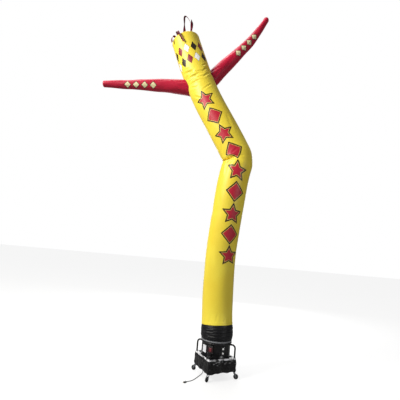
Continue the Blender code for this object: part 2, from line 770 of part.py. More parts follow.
def turned_part(name, profile, finish, sides):
    """A solid of revolution about Z: a closed outline of (radius, height) places."""
    work = bmesh.new()
    corners = [work.verts.new((radius, 0.0, height)) for radius, height in profile]
    for here, there in zip(corners, corners[1:] + corners[:1]):
        work.edges.new((here, there))
    part = add_part(name, mesh_from(name, work), finish)
    screw = part.modifiers.new("turned", "SCREW")
    screw.steps = sides
    screw.render_steps = sides
    screw.use_merge_vertices = True
    screw.merge_threshold = 0.0001
    screw.use_smooth_shade = False
    return part


def make_drum():
    """The blower's drum: a thin wall with a foot rim and a wider collar at its top."""
    foot = FRAME_TOP + GAP
    step = COLLAR_RADIUS - DRUM_RADIUS
    outer = [(COLLAR_RADIUS, DRUM_TOP), (COLLAR_RADIUS, COLLAR_FOOT),
             (DRUM_RADIUS, COLLAR_FOOT - step), (DRUM_RADIUS, foot + DRUM_FOOT_HEIGHT),
             (DRUM_RADIUS + DRUM_FOOT_WIDTH, foot + DRUM_FOOT_HEIGHT),
             (DRUM_RADIUS + DRUM_FOOT_WIDTH, foot)]
    inner = [(DRUM_RADIUS - DRUM_WALL, foot), (DRUM_RADIUS - DRUM_WALL, COLLAR_FOOT - step),
             (COLLAR_RADIUS - DRUM_WALL, COLLAR_FOOT), (COLLAR_RADIUS - DRUM_WALL, DRUM_TOP)]
    turned_part("blower_drum", outer + inner, "black enamelled steel", DRUM_SIDES)


def corner_bearing(corner):
    """Bearing of a corner of the frame: the front one is turned to the left."""
    return 270.0 - FRAME_TURN + 90.0 * CORNER_NAMES.index(corner)


def polar(reach, bearing, height):
    turn = math.radians(bearing)
    return Vector((reach * math.cos(turn), reach * math.sin(turn), height))


def make_frame():
    """The square frame of angle section, and a leg under each corner."""
    half = FRAME_SIDE / 2
    turn = Matrix.Rotation(math.radians(corner_bearing("front") - 225.0), 4, "Z")
    bottom = FRAME_TOP - FRAME_DROP
    frame = add_part("base_frame", rounded_box_mesh(
        "base_frame", (-half, -half, bottom), (half, half, FRAME_TOP), FRAME_CORNER),
        "black enamelled steel")
    inside = half - FRAME_WALL
    under = add_cutter("frame_underside", rounded_box_mesh(
        "frame_underside", (-inside, -inside, bottom - 0.01), (inside, inside, FRAME_TOP - FRAME_WALL),
        FRAME_CORNER - FRAME_WALL))
    opening = half - FRAME_FLANGE
    well = add_cutter("frame_opening", box_mesh(
        "frame_opening", (-opening, -opening, bottom), (opening, opening, FRAME_TOP + 0.01)))
    for piece in (frame, under, well):
        piece.matrix_world = turn
    boolean(frame, under)
    boolean(frame, well)
    for corner in CORNER_NAMES:
        leg = add_part(f"leg_{corner}", cylinder_mesh(
            f"leg_{corner}", LEG_RADIUS, LEG_FOOT, FRAME_TOP - FRAME_WALL - GAP, 12),
            "black enamelled steel")
        leg.location = polar(LEG_REACH, corner_bearing(corner), 0.0)


def tube_curve(name, points, radius, resolution=2):
    """A round bar or cord along a run of points."""
    curve = bpy.data.curves.new(name, "CURVE")
    curve.dimensions = "3D"
    curve.bevel_depth = radius
    curve.bevel_resolution = resolution
    curve.use_fill_caps = True
    spline = curve.splines.new("POLY")
    spline.points.add(len(points) - 1)
    for point, place in zip(spline.points, points):
        point.co = (*place, 1.0)
    return curve


def make_handles():
    """Bent tube handles from the drum's side down to the frame's corners."""
    for corner in ("left", "right"):
        bearing = corner_bearing(corner)
        path = [polar(DRUM_RADIUS + 2 * GAP, bearing, HANDLE_HEIGHT)]
        for index in range(HANDLE_BEND_STEPS + 1):
            turn = math.pi / 2 * index / HANDLE_BEND_STEPS
            path.append(polar(HANDLE_REACH - HANDLE_BEND * (1 - math.sin(turn)), bearing,
                              HANDLE_HEIGHT - HANDLE_BEND * (1 - math.cos(turn))))
        path.append(polar(HANDLE_REACH, bearing, FRAME_TOP + GAP))
        curve = tube_curve(f"handle_{corner}", path, HANDLE_RADIUS)
        add_part(f"handle_{corner}", curve, "black enamelled steel")


def fork_mesh(name):
    """A caster fork's side view, as wide as the fork, about its swivel axis."""
    under_plate = FORK_TOP - FORK_PLATE
    outline = [(-FORK_PLATE_BACK, FORK_TOP), (-FORK_PLATE_BACK, under_plate),
               (CASTER_TRAIL - FORK_CHEEK * 0.75, WHEEL_RADIUS - FORK_CHEEK * 0.6),
               (CASTER_TRAIL + FORK_CHEEK * 0.25, WHEEL_RADIUS - FORK_CHEEK * 0.85),
               (CASTER_TRAIL + FORK_CHEEK * 0.8, WHEEL_RADIUS + FORK_CHEEK * 0.27),
               (FORK_PLATE_FRONT, under_plate), (FORK_PLATE_FRONT, FORK_TOP)]
    work = bmesh.new()
    corners = [work.verts.new((along, -FORK_WIDTH / 2, height)) for along, height in outline]
    face = work.faces.new(corners)
    swept = bmesh.ops.extrude_face_region(work, geom=[face])
    moved = [item for item in swept["geom"] if isinstance(item, bmesh.types.BMVert)]
    bmesh.ops.translate(work, verts=moved, vec=(0.0, FORK_WIDTH, 0.0))
    bmesh.ops.recalc_face_normals(work, faces=work.faces)
    return mesh_from(name, work)


def make_casters():
    """Four casters: a fork under each leg and a wheel that trails behind its axis."""
    for corner, bearing in CASTER_HEADINGS:
        swivel = bpy.data.objects.new(f"swivel_{corner}", None)
        PARTS.objects.link(swivel)
        swivel.location = polar(LEG_REACH, corner_bearing(corner), 0.0)
        swivel.rotation_euler = (0.0, 0.0, math.radians(bearing))
        fork = add_part(f"caster_fork_{corner}", fork_mesh(f"caster_fork_{corner}"), "zinc plated steel")
        fork.parent = swivel
        slot = add_cutter(f"wheel_slot_{corner}", box_mesh(
            f"wheel_slot_{corner}", (-SLOT_BACK, -FORK_SLOT / 2, -FORK_PLATE),
            (CASTER_TRAIL + SLOT_PAST_AXLE, FORK_SLOT / 2, FORK_TOP - FORK_PLATE)))
        slot.parent = swivel
        boolean(fork, slot)
        tread = WHEEL_RADIUS / math.cos(math.pi / WHEEL_SIDES)
        shape = cylinder_mesh(
            f"caster_wheel_{corner}", tread, -WHEEL_WIDTH / 2, WHEEL_WIDTH / 2, WHEEL_SIDES)
        half_side = math.pi / WHEEL_SIDES
        shape.transform(Matrix.Rotation(math.pi / 2, 4, "X") @ Matrix.Rotation(half_side, 4, "Z"))
        wheel = add_part(f"caster_wheel_{corner}", shape, "black rubber", smooth_angle=30.0)
        wheel.parent = swivel
        wheel.location = (CASTER_TRAIL, 0.0, WHEEL_RADIUS)
        add_bevel(wheel, WHEEL_EDGE, segments=1, angle=60.0)


def skirt_outline():
    """Places round the frame with their outward directions, from the front corner on."""
    half = FRAME_SIDE / 2 + SKIRT_CLEAR
    rounding = FRAME_CORNER + SKIRT_CLEAR
    flat = half - rounding
    places = []
    for quarter, corner in enumerate(CORNER_NAMES):
        turn = Matrix.Rotation(math.radians(90.0 * quarter), 4, "Z")
        for index in range(SKIRT_CORNER_POINTS):
            angle = math.radians(180.0 + 90.0 * (index + 0.5) / SKIRT_CORNER_POINTS)
            out = Vector((math.cos(angle), math.sin(angle), 0.0))
            share = (index + 0.5) / SKIRT_CORNER_POINTS * 0.1 - 0.05
            places.append((turn @ (Vector((-flat, -flat, 0.0)) + out * rounding), turn @ out, corner, share))
        for index in range(SKIRT_SIDE_POINTS):
            share = (index + 0.5) / SKIRT_SIDE_POINTS
            place = Vector((-flat + 2 * flat * share, -half, 0.0))
            places.append((turn @ place, turn @ Vector((0.0, -1.0, 0.0)), corner, 0.05 + 0.9 * share))
    return places


def skirt_fold(corner, share, column):
    """How far the skirt's folds swell or sag at a place round the frame."""
    total = 0.0
    here = CORNER_NAMES.index(corner) + share
    for fold in SKIRT_FOLDS:
        away = (here - CORNER_NAMES.index(fold.corner) - fold.share + 2.0) % 4.0 - 2.0
        total += getattr(fold, column) * math.exp(-(away / fold.width) ** 2)
    return total


def make_skirt():
    """The cloth skirt that hangs from the frame, fuller and uneven towards its hem."""
    turn = Matrix.Rotation(math.radians(corner_bearing("front") - 225.0), 4, "Z")
    rings = []
    for row in range(SKIRT_ROWS):
        drop = 1.0 - row / (SKIRT_ROWS - 1)
        ring = []
        for place, out, corner, share in skirt_outline():
            hem = SKIRT_HEM - skirt_fold(corner, share, "sag")
            swell = skirt_fold(corner, share, "swell") * math.sin(min(1.0, drop * 1.15) * math.pi / 2)
            height = SKIRT_TOP - (SKIRT_TOP - hem) * drop
            spot = place + out * swell
            ring.append(turn @ Vector((spot.x, spot.y, height)))
        rings.append(ring)
    as_cloth(add_part("skirt", loft_mesh("skirt", rings), "black coated nylon"))


def drum_side(bearing, height):
    """Places a piece on the drum: its Y is outward from the drum, X along its side, Z up."""
    return (Matrix.Translation((0.0, 0.0, height))
            @ Matrix.Rotation(math.radians(bearing - 90.0), 4, "Z"))


def make_fittings():
    """The switch with its rocker, the control plate with two caps, and the blank label."""
    wall = add_cutter("drum_wall", cylinder_mesh(
        "drum_wall", DRUM_RADIUS + GAP, FRAME_TOP, COLLAR_FOOT, DRUM_SIDES))
    half_w, half_h = SWITCH_BOX[0] / 2, SWITCH_BOX[1] / 2
    face = DRUM_RADIUS + SWITCH_BOX_DEPTH
    place = drum_side(SWITCH_BEARING, SWITCH_HEIGHT)
    box = add_part("switch_box", box_mesh(
        "switch_box", (-half_w, DRUM_RADIUS - FITTING_ROOT, -half_h), (half_w, face, half_h)),
        "black moulded plastic")
    box.matrix_world = place
    add_bevel(box, FITTING_EDGE)
    pocket = add_cutter("rocker_pocket", box_mesh(
        "rocker_pocket",
        (-ROCKER[0] / 2 - ROCKER_CLEAR, face - ROCKER_POCKET, -ROCKER[1] / 2 - ROCKER_CLEAR),
        (ROCKER[0] / 2 + ROCKER_CLEAR, face + 0.01, ROCKER[1] / 2 + ROCKER_CLEAR)))
    pocket.matrix_world = place
    boolean(box, pocket)
    boolean(box, wall)
    rocker = add_part("switch_rocker", box_mesh(
        "switch_rocker", (-ROCKER[0] / 2, ROCKER_PROUD - ROCKER_DEPTH, -ROCKER[1] / 2),
        (ROCKER[0] / 2, ROCKER_PROUD, ROCKER[1] / 2)), "red translucent plastic")
    rocker.matrix_world = place @ Matrix.Translation((0.0, face, 0.0))
    add_bevel(rocker, ROCKER_EDGE)

    half_w, half_h = CONTROL_PLATE[0] / 2, CONTROL_PLATE[1] / 2
    face = DRUM_RADIUS + CONTROL_PLATE_DEPTH
    place = drum_side(CONTROL_BEARING, CONTROL_HEIGHT)
    plate = add_part("control_plate", box_mesh(
        "control_plate", (-half_w, DRUM_RADIUS - FITTING_ROOT, -half_h), (half_w, face, half_h)),
        "black moulded plastic")
    plate.matrix_world = place
    add_bevel(plate, FITTING_EDGE)
    boolean(plate, wall)
    for name, side in (("cap_upper", 1), ("cap_lower", -1)):
        shape = cylinder_mesh(name, CAP_RADIUS, 0.0, CAP_DEPTH, CAP_SIDES)
        shape.transform(Matrix.Rotation(-math.pi / 2, 4, "X"))
        cap = add_part(name, shape, "white moulded plastic")
        cap.matrix_world = place @ Matrix.Translation((0.0, face + GAP, side * CAP_PITCH / 2))
        add_bevel(cap, CAP_EDGE, segments=1)

    work = bmesh.new()
    rows = []
    for index in range(LABEL_FLATS + 1):
        bearing = LABEL_BEARING + LABEL_ARC * (index / LABEL_FLATS - 0.5)
        rows.append([work.verts.new(polar(
            DRUM_RADIUS + 2 * GAP, bearing, LABEL_HEIGHT + side * LABEL_TALL / 2)) for side in (-1, 1)])
    for here, there in zip(rows, rows[1:]):
        work.faces.new((here[0], there[0], there[1], here[1]))
    label = add_part("label_plate", mesh_from("label_plate", work), "white moulded plastic")
    as_cloth(label)
    label.modifiers["cloth thickness"].thickness = LABEL_THICKNESS


def floor_point(side, back, height=CORD_FLOOR):
    return Vector((side, back, height))


def coil_edge(aside):
    """How far in front of its middle the coil's outer edge is, at a cord so far to its side."""
    return math.sqrt((COIL_OUTER + GAP) ** 2 - (aside - CORD_RADIUS) ** 2)


def cord_routes():
    """The cord's two runs: from its gland to the coil, and from the coil to the plug."""
    exit_reach = DRUM_RADIUS + SWITCH_BOX_DEPTH / 2
    exit_height = SWITCH_HEIGHT - SWITCH_BOX[1] / 2 - GLAND_LENGTH - 3 * GAP
    coil_x, coil_y = COIL_CENTRE
    enter_x = coil_x + COIL_TURN_OUT
    leave_x = coil_x - COIL_LEAVE
    entering = [
        polar(exit_reach, SWITCH_BEARING, exit_height),
        polar(exit_reach, SWITCH_BEARING, exit_height - 0.030),
        polar(exit_reach + 0.001, SWITCH_BEARING, 0.215),
        Vector((-0.092, -0.215, 0.150)),
        Vector((-0.091, -0.211, 0.095)),
        Vector((-0.090, -0.200, 0.048)),
        Vector((-0.089, -0.174, 0.015)),
        Vector((-0.087, -0.130, CORD_FLOOR)),
        floor_point(-0.076, -0.060),
        floor_point(-0.062, 0.020),
        floor_point(-0.052, 0.100),
        floor_point(enter_x, coil_y - coil_edge(COIL_TURN_OUT)),
    ]
    leaving = [
        floor_point(leave_x, coil_y - coil_edge(COIL_LEAVE) - CORD_CLEAR),
        floor_point(-0.167, 0.130),
        floor_point(-0.164, 0.070),
        floor_point(-0.176, 0.000),
        floor_point(-0.199, -0.062),
        floor_point(-0.229, -0.126),
        floor_point(-0.265, -0.200),
        floor_point(-0.305, -0.272),
        floor_point(-0.343, -0.318),
        Vector((-0.379, -0.350, 0.0075)),
        Vector((*PLUG_START, PLUG_CORD_HEIGHT)),
    ]
    return entering, leaving


def even_run(points):
    """Points of the smooth curve through a route, evenly spaced along it."""
    fine = smooth_points(points, 24)
    length = sum((b - a).length for a, b in zip(fine, fine[1:]))
    count = round(length / CORD_SPACING)
    run = [fine[0]]
    gone = 0.0
    for here, there in zip(fine, fine[1:]):
        step = (there - here).length
        while len(run) < count and gone + step >= len(run) * length / count:
            run.append(here.lerp(there, (len(run) * length / count - gone) / step))
        gone += step
    run.append(fine[-1])
    return run


def make_cord():
    """The gland, the cord's runs and coil, and the plug."""
    place = drum_side(SWITCH_BEARING, SWITCH_HEIGHT - SWITCH_BOX[1] / 2)
    gland = add_part("cord_gland", cylinder_mesh(
        "cord_gland", GLAND_NARROW, -GLAND_LENGTH - GAP, -GAP, GLAND_SIDES, top_radius=GLAND_WIDE),
        "black moulded plastic")
    gland.matrix_world = place @ Matrix.Translation((0.0, DRUM_RADIUS + SWITCH_BOX_DEPTH / 2, 0.0))
    entering, leaving = cord_routes()
    for name, route in (("cord_run_in", entering), ("cord_run_out", leaving)):
        curve = tube_curve(name, even_run(route), CORD_RADIUS)
        add_part(name, curve, "grey cord sheath")
    edge = COIL_EDGE
    outer = [(COIL_OUTER - edge, COIL_HEIGHT), (COIL_OUTER, COIL_HEIGHT - edge), (COIL_OUTER, edge),
             (COIL_OUTER - edge, FLOOR_GAP)]
    inner = [(COIL_INNER + edge, FLOOR_GAP), (COIL_INNER, edge), (COIL_INNER, COIL_HEIGHT - edge),
             (COIL_INNER + edge, COIL_HEIGHT)]
    coil = turned_part("cord_coil", outer + inner, "grey cord sheath", COIL_SIDES)
    coil.location = (*COIL_CENTRE, 0.0)

    plug = add_part("plug", box_mesh(
        "plug", (GAP * 2, -PLUG_WIDTH / 2, FLOOR_GAP), (PLUG_LENGTH, PLUG_WIDTH / 2, PLUG_HEIGHT)),
        "black moulded plastic")
    turn = Matrix.Rotation(math.radians(PLUG_HEADING), 4, "Z")
    plug.matrix_world = Matrix.Translation((*PLUG_START, 0.0)) @ turn
    add_bevel(plug, PLUG_EDGE)
    half_thick, half_wide = BLADE[1] / 2, BLADE[2] / 2
    for name, side in (("upper_blade", 1), ("lower_blade", -1)):
        middle = side * BLADE_PITCH / 2
        blade = add_cutter(name, box_mesh(
            name, (PLUG_LENGTH - BLADE_ROOT, middle - half_thick, PLUG_CORD_HEIGHT - half_wide),
            (PLUG_LENGTH + BLADE[0], middle + half_thick, PLUG_CORD_HEIGHT + half_wide)))
        blade.matrix_world = plug.matrix_world
        boolean(plug, blade, "UNION")


make_tube()
make_arms()
make_crown()
make_ribbons()
make_sleeve()
make_drum()
make_frame()
make_handles()
make_casters()
make_skirt()
make_fittings()
make_cord()
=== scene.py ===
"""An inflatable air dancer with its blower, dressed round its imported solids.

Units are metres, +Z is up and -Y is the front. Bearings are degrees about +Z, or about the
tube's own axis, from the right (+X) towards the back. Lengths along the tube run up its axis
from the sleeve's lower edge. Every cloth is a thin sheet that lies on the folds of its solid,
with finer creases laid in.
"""
import math
from functools import partial

import bmesh
import bpy
import numpy as np
from mathutils import Matrix, Vector, noise


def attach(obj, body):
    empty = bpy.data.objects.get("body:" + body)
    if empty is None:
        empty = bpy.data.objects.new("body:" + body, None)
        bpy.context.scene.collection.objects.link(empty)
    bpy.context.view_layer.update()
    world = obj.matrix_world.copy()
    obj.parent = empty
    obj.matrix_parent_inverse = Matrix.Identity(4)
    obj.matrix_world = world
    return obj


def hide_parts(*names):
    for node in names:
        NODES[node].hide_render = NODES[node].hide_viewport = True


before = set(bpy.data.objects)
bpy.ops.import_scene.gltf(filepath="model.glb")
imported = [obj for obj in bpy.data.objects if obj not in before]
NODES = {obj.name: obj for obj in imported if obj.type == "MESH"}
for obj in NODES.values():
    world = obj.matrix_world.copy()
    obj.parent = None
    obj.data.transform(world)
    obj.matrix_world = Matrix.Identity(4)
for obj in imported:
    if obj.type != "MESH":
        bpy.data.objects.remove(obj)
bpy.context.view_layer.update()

# ---- sizes that the solids share ----
CLOTH = 0.001
TUBE_RADIUS = 0.2276
SLEEVE_FOOT = 0.480
HEM_START = 0.244
HEM_END = 0.270
HEM_PROUD = 0.0012
HEAD_TOP = 5.05
CROWN_RISE = 0.042
CROWN_SQUARENESS = 4.5
AXIS_STEP = 0.01
SEAM_GAP = 0.0006

# How the tube leans in degrees, and how much wider than its usual radius it is filled
LEANS = {
    "along": (0.00, 0.08, 0.14, 0.27, 0.45, 0.80, 1.15, 1.55, 1.95, 2.35, 2.69, 2.89, 3.70, 4.12, 4.42, 5.20),
    "side": (0.0, -0.8, -1.5, -4.6, -3.1, -1.3, -0.7, 3.5, 5.0, 5.6, 13.2, -30.1, -30.9, -25.8, -22.6, -20.6),
    "front": (0.0, -0.5, -4.0, -5.5, 4.5, 11.5, 13.0, 12.5, 11.0, 8.0, 3.0, -1.0, -4.0, -3.5, -3.0, -2.5),
}
GIRTHS = {
    "along": (0.25, 0.60, 1.00, 1.40, 2.20, 2.60, 4.20, 4.60, 5.05),
    "extra": (0.009, 0.007, 0.003, 0.001, 0.006, 0.002, 0.000, 0.005, 0.004),
}
# The solid's folds: along, bearing, depth, reach along the fold, breadth across it, slant
TUBE_FOLDS = (
    (2.785, 190, 0.058, 0.21, 0.034, 0),
    (2.700, 236, 0.013, 0.12, 0.035, 62),
    (2.860, 215, -0.010, 0.16, 0.040, 8),
    (2.790, 10, 0.008, 0.16, 0.045, 0),
    (4.330, 222, 0.015, 0.11, 0.026, 24),
    (4.255, 243, 0.012, 0.14, 0.028, 10),
    (4.190, 214, 0.009, 0.10, 0.026, -14),
    (4.300, 330, 0.012, 0.10, 0.030, -26),
    (4.240, 55, 0.012, 0.12, 0.030, 20),
    (4.260, 130, 0.012, 0.12, 0.030, -20),
    (3.900, 205, 0.008, 0.12, 0.040, -30),
    (1.950, 200, 0.006, 0.20, 0.060, 12),
)
SLEEVE_FOLDS = (
    (0.105, 225, 0.0045, 0.14, 0.014, 4),
    (0.150, 250, 0.0045, 0.16, 0.014, -5),
    (0.120, 300, 0.0040, 0.12, 0.014, 6),
    (0.165, 350, 0.0045, 0.14, 0.014, -4),
    (0.110, 40, 0.0045, 0.16, 0.014, 5),
    (0.150, 110, 0.0045, 0.18, 0.014, -4),
    (0.115, 170, 0.0045, 0.12, 0.014, 8),
)
HEM_TUCKS = 9
HEM_TUCK_DEPTH = 0.0035
HEM_TUCK_FADE = 0.16
SLEEVE_ROWS = {
    "along": (0.000, 0.010, 0.042, 0.060, 0.090, 0.125, 0.160, 0.205),
    "radius": (0.2325, 0.2290, 0.2290, 0.2360, 0.2425, 0.2435, 0.2445, 0.2410),
}
ARM_ALONG = 4.14
ARM_BACK = 0.05
ARM_ROWS = {
    "arm_left": {"side": -1, "out": (0.00, 0.30, 0.70, 1.15, 1.64), "rise": (5.5, 2.0, -2.6, -4.4, -3.0),
                 "radius": (0.134, 0.122, 0.101, 0.075, 0.050)},
    "arm_right": {"side": 1, "out": (0.00, 0.30, 0.65, 1.05, 1.35, 1.75),
                  "rise": (57.0, 53.0, 50.5, 51.5, 59.5, 64.0),
                  "radius": (0.136, 0.125, 0.107, 0.084, 0.067, 0.043)},
}
ARM_TIP_ROUND = 0.022
RIBBON_WIDTH = 0.042
RIBBON_LIFT = 0.0024
RIBBON_SEATS = {
    "ribbon_1": (-0.006, -0.190, 0), "ribbon_2": (0.105, -0.178, 30), "ribbon_3": (-0.115, -0.174, -34),
    "ribbon_4": (-0.150, -0.100, -56), "ribbon_5": (0.010, 0.120, 15),
}
# Each ribbon's way up from its seat: side, back, up, twist and share of its width
RIBBON_ROWS = {
    "ribbon_1": ((0, 0, 0, 0, 1.1), (.018, -.003, .060, 20, .9), (.040, -.006, .131, 50, .6),
                 (.062, -.010, .216, 45, .9),
                 (.084, -.016, .264, 60, 1.0), (.106, -.024, .250, 78, .7), (.126, -.030, .186, 80, .5),
                 (.136, -.034, .098, 75, .5)),
    "ribbon_2": ((0, 0, 0, 0, .7), (.022, .010, .056, -20, .8), (.048, .014, .126, -10, 1.1),
                 (.064, .010, .172, 5, 1.0),
                 (.070, .004, .220, 30, .4)),
    "ribbon_3": ((0, 0, 0, 0, 1.0), (-.006, -.022, .030, 5, 1.1), (-.002, -.058, .022, 15, .9),
                 (.012, -.079, -.040, 20, .7),
                 (.026, -.078, -.118, 20, .7), (.044, -.074, -.200, 20, .7)),
    "ribbon_4": ((0, 0, 0, 0, 1.0), (-.024, -.014, .026, 0, 1.0), (-.054, -.026, .020, 5, .9),
                 (-.080, -.032, -.030, 10, .8),
                 (-.087, -.034, -.082, 10, .8)),
    "ribbon_5": ((0, 0, 0, 0, 1.0), (-.010, .030, .040, 15, 1.0), (-.020, .084, .046, 30, .9),
                 (-.022, .122, -.012, 30, .8),
                 (-.020, .134, -.090, 20, .8)),
}
DRUM_RADIUS = 0.215
DRUM_WALL = 0.002
COLLAR_RADIUS = 0.2265
COLLAR_FOOT = 0.486
DRUM_TOP = 0.556
FRAME_SIDE = 0.457
FRAME_TOP = 0.290
FRAME_CORNER = 0.015
CORNERS = {"front": 250.0, "right": 340.0, "back": 70.0, "left": 160.0}
LEG_REACH = 0.300
LEG_RADIUS = 0.011
LEG_FOOT = 0.0983
HANDLE_RADIUS = 0.0125
HANDLE_REACH = 0.2955
HANDLE_HEIGHT = 0.460
HANDLE_BEND = 0.045
WHEEL_RADIUS = 0.036
WHEEL_WIDTH = 0.022
CASTER_TRAIL = 0.030
FORK_WIDTH = 0.030
HEADINGS = {"front": 235, "right": 350, "back": 62, "left": 150}
SKIRT_TOP = 0.266
SKIRT_HEM = 0.106
SKIRT_CLEAR = 0.0030
# The skirt's folds: quarter of the frame and share along it, swell, width and sag
SKIRT_FOLDS = ((-0.20, 0.012, 0.10, 0.004), (0.10, 0.014, 0.12, 0.012), (0.34, 0.015, 0.09, 0.002),
               (0.66, 0.013, 0.08, 0.006),
               (1.10, 0.004, 0.09, 0.004), (1.50, 0.015, 0.10, 0.002), (2.05, 0.012, 0.10, 0.010),
               (2.45, 0.014, 0.09, 0.000),
               (3.10, 0.004, 0.08, -0.006), (3.48, 0.014, 0.10, 0.004))
SWITCH_BEARING = 247.0
SWITCH_HEIGHT = 0.406
SWITCH_BOX = (0.080, 0.104)
SWITCH_BOX_DEPTH = 0.036
CONTROL_BEARING = 293.4
CONTROL_HEIGHT = 0.394
CONTROL_PLATE_DEPTH = 0.012
CORD_RADIUS = 0.0050
CORD_FLOOR = 0.0051
GLAND_LENGTH = 0.034
COIL_CENTRE = (-0.105, 0.215)
PLUG_START = (-0.4056, -0.3717)
PLUG_HEADING = 224.0
PLUG_CORD_HEIGHT = 0.0098


# ---- camera, cord route and small helpers ----
def set_camera():
    """The photograph's view: a little rolled, tilted up, from in front of the left side."""
    lens = bpy.data.cameras.new("camera")
    lens.sensor_fit = "HORIZONTAL"
    lens.sensor_width = 36.0
    lens.lens = 27.9
    camera = bpy.data.objects.new("camera", lens)
    camera.location = (-0.4335, -5.0, 1.768)
    tilt = Matrix.Rotation(math.radians(90.0 + 9.64), 3, "X")
    camera.rotation_euler = (tilt @ Matrix.Rotation(math.radians(5.0), 3, "Z")).to_euler()
    bpy.context.scene.collection.objects.link(camera)
    bpy.context.scene.camera = camera


def polar(reach, bearing, height):
    turn = math.radians(bearing)
    return Vector((reach * math.cos(turn), reach * math.sin(turn), height))


def smooth_points(points, steps):
    """Points of a smooth curve through the given ones, with steps between each two."""
    ends = [points[0] * 2 - points[1]] + list(points) + [points[-1] * 2 - points[-2]]
    curve = []
    for before, start, end, after in zip(ends, ends[1:], ends[2:], ends[3:]):
        for index in range(steps):
            t = index / steps
            curve.append(0.5 * (2 * start + (end - before) * t + (2 * before - 5 * start + 4 * end - after)
                                * t ** 2
                                + (3 * start - before - 3 * end + after) * t ** 3))
    curve.append(points[-1])
    return curve


def cord_route():
    """The whole mains cord: down from its gland, round its coil and out to the plug."""
    exit_reach = DRUM_RADIUS + SWITCH_BOX_DEPTH / 2
    exit_height = SWITCH_HEIGHT - SWITCH_BOX[1] / 2 - GLAND_LENGTH - 0.0009
    entering = [polar(exit_reach, SWITCH_BEARING, exit_height),
                polar(exit_reach, SWITCH_BEARING, exit_height - 0.030),
                polar(exit_reach + 0.001, SWITCH_BEARING, 0.215), Vector((-0.092, -0.215, 0.150)),
                Vector((-0.091, -0.211, 0.095)), Vector((-0.090, -0.200, 0.048)),
                Vector((-0.089, -0.174, 0.015)),
                Vector((-0.087, -0.130, CORD_FLOOR)), Vector((-0.076, -0.060, CORD_FLOOR)),
                Vector((-0.062, 0.020, CORD_FLOOR)), Vector((-0.052, 0.100, CORD_FLOOR)),
                Vector((-0.046, 0.165, CORD_FLOOR))]
    coil = []
    for angle in range(0, 901, 22):
        reach = np.interp(angle, (0, 450, 540, 900), (0.0640, 0.0515, 0.0480, 0.0645))
        height = np.interp(angle, (0, 440, 530, 860, 900), (CORD_FLOOR, CORD_FLOOR, 0.0154, 0.0154, 0.0142))
        turn = math.radians(angle)
        coil.append(Vector((COIL_CENTRE[0] + reach * math.cos(turn), COIL_CENTRE[1] + reach * math.sin(turn),
                            height)))
    leaving = [Vector((-0.1700, 0.188, 0.0118)), Vector((-0.1695, 0.160, 0.0070)),
               Vector((-0.167, 0.130, CORD_FLOOR)),
               Vector((-0.164, 0.070, CORD_FLOOR)), Vector((-0.176, 0.000, CORD_FLOOR)),
               Vector((-0.199, -0.062, CORD_FLOOR)),
               Vector((-0.229, -0.126, CORD_FLOOR)), Vector((-0.265, -0.200, CORD_FLOOR)),
               Vector((-0.305, -0.272, CORD_FLOOR)),
               Vector((-0.343, -0.318, CORD_FLOOR)), Vector((-0.379, -0.350, 0.0075)),
               Vector((*PLUG_START, PLUG_CORD_HEIGHT))]
    return smooth_points(entering + coil + leaving, 4)


def show(name, shape, finish, body="root", replaces=()):
    """Show a mesh or curve in its finish, riding on a body, in place of the named nodes."""
    piece = bpy.data.objects.new(name, shape)
    bpy.context.scene.collection.objects.link(piece)
    shape.materials.append(finish)
    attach(piece, body)
    if replaces:
        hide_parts(*([replaces] if isinstance(replaces, str) else replaces))
    return piece


def grid_mesh(name, points, closed=False, maps=None, keep=None, tip=None):
    """A smooth mesh through rows and columns of points, with the UV maps given for them.
    A closed one joins its last column to its first, and its maps have one column more."""
    rows, columns = points.shape[:2]
    across = columns if closed else columns - 1
    row, column = np.meshgrid(np.arange(rows - 1), np.arange(across), indexing="ij")
    corner_rows = np.stack([row, row, row + 1, row + 1], -1).reshape(-1, 4)
    corner_columns = np.stack([column, column + 1, column + 1, column], -1).reshape(-1, 4)
    if keep is not None:
        kept = keep[corner_rows, corner_columns % columns].any(axis=1)
        corner_rows, corner_columns = corner_rows[kept], corner_columns[kept]
    corners = points.reshape(-1, 3).tolist()
    faces = (corner_rows * columns + corner_columns % columns).tolist()
    if tip is not None:
        corners.append(list(tip))
        last = (rows - 1) * columns
        faces += [(last + here, last + (here + 1) % columns, len(corners) - 1) for here in range(across)]
    mesh = bpy.data.meshes.new(name)
    mesh.from_pydata(corners, [], faces)
    for map_name, places in (maps or {}).items():
        spots = places[corner_rows, corner_columns].reshape(-1, 2)
        if tip is not None:
            ends = [(places[-1, here], places[-1, here + 1],
                     places[-1, here:here + 2].mean(axis=0)) for here in range(across)]
            spots = np.concatenate([spots, np.array(ends).reshape(-1, 2)])
        mesh.uv_layers.new(name=map_name).data.foreach_set("uv", spots.astype(np.float32).ravel())
    if keep is not None:
        work = bmesh.new()
        work.from_mesh(mesh)
        bmesh.ops.delete(work, geom=[corner for corner in work.verts if not corner.link_faces],
                         context="VERTS")
        work.to_mesh(mesh)
        work.free()
    mesh.shade_smooth()
    return mesh


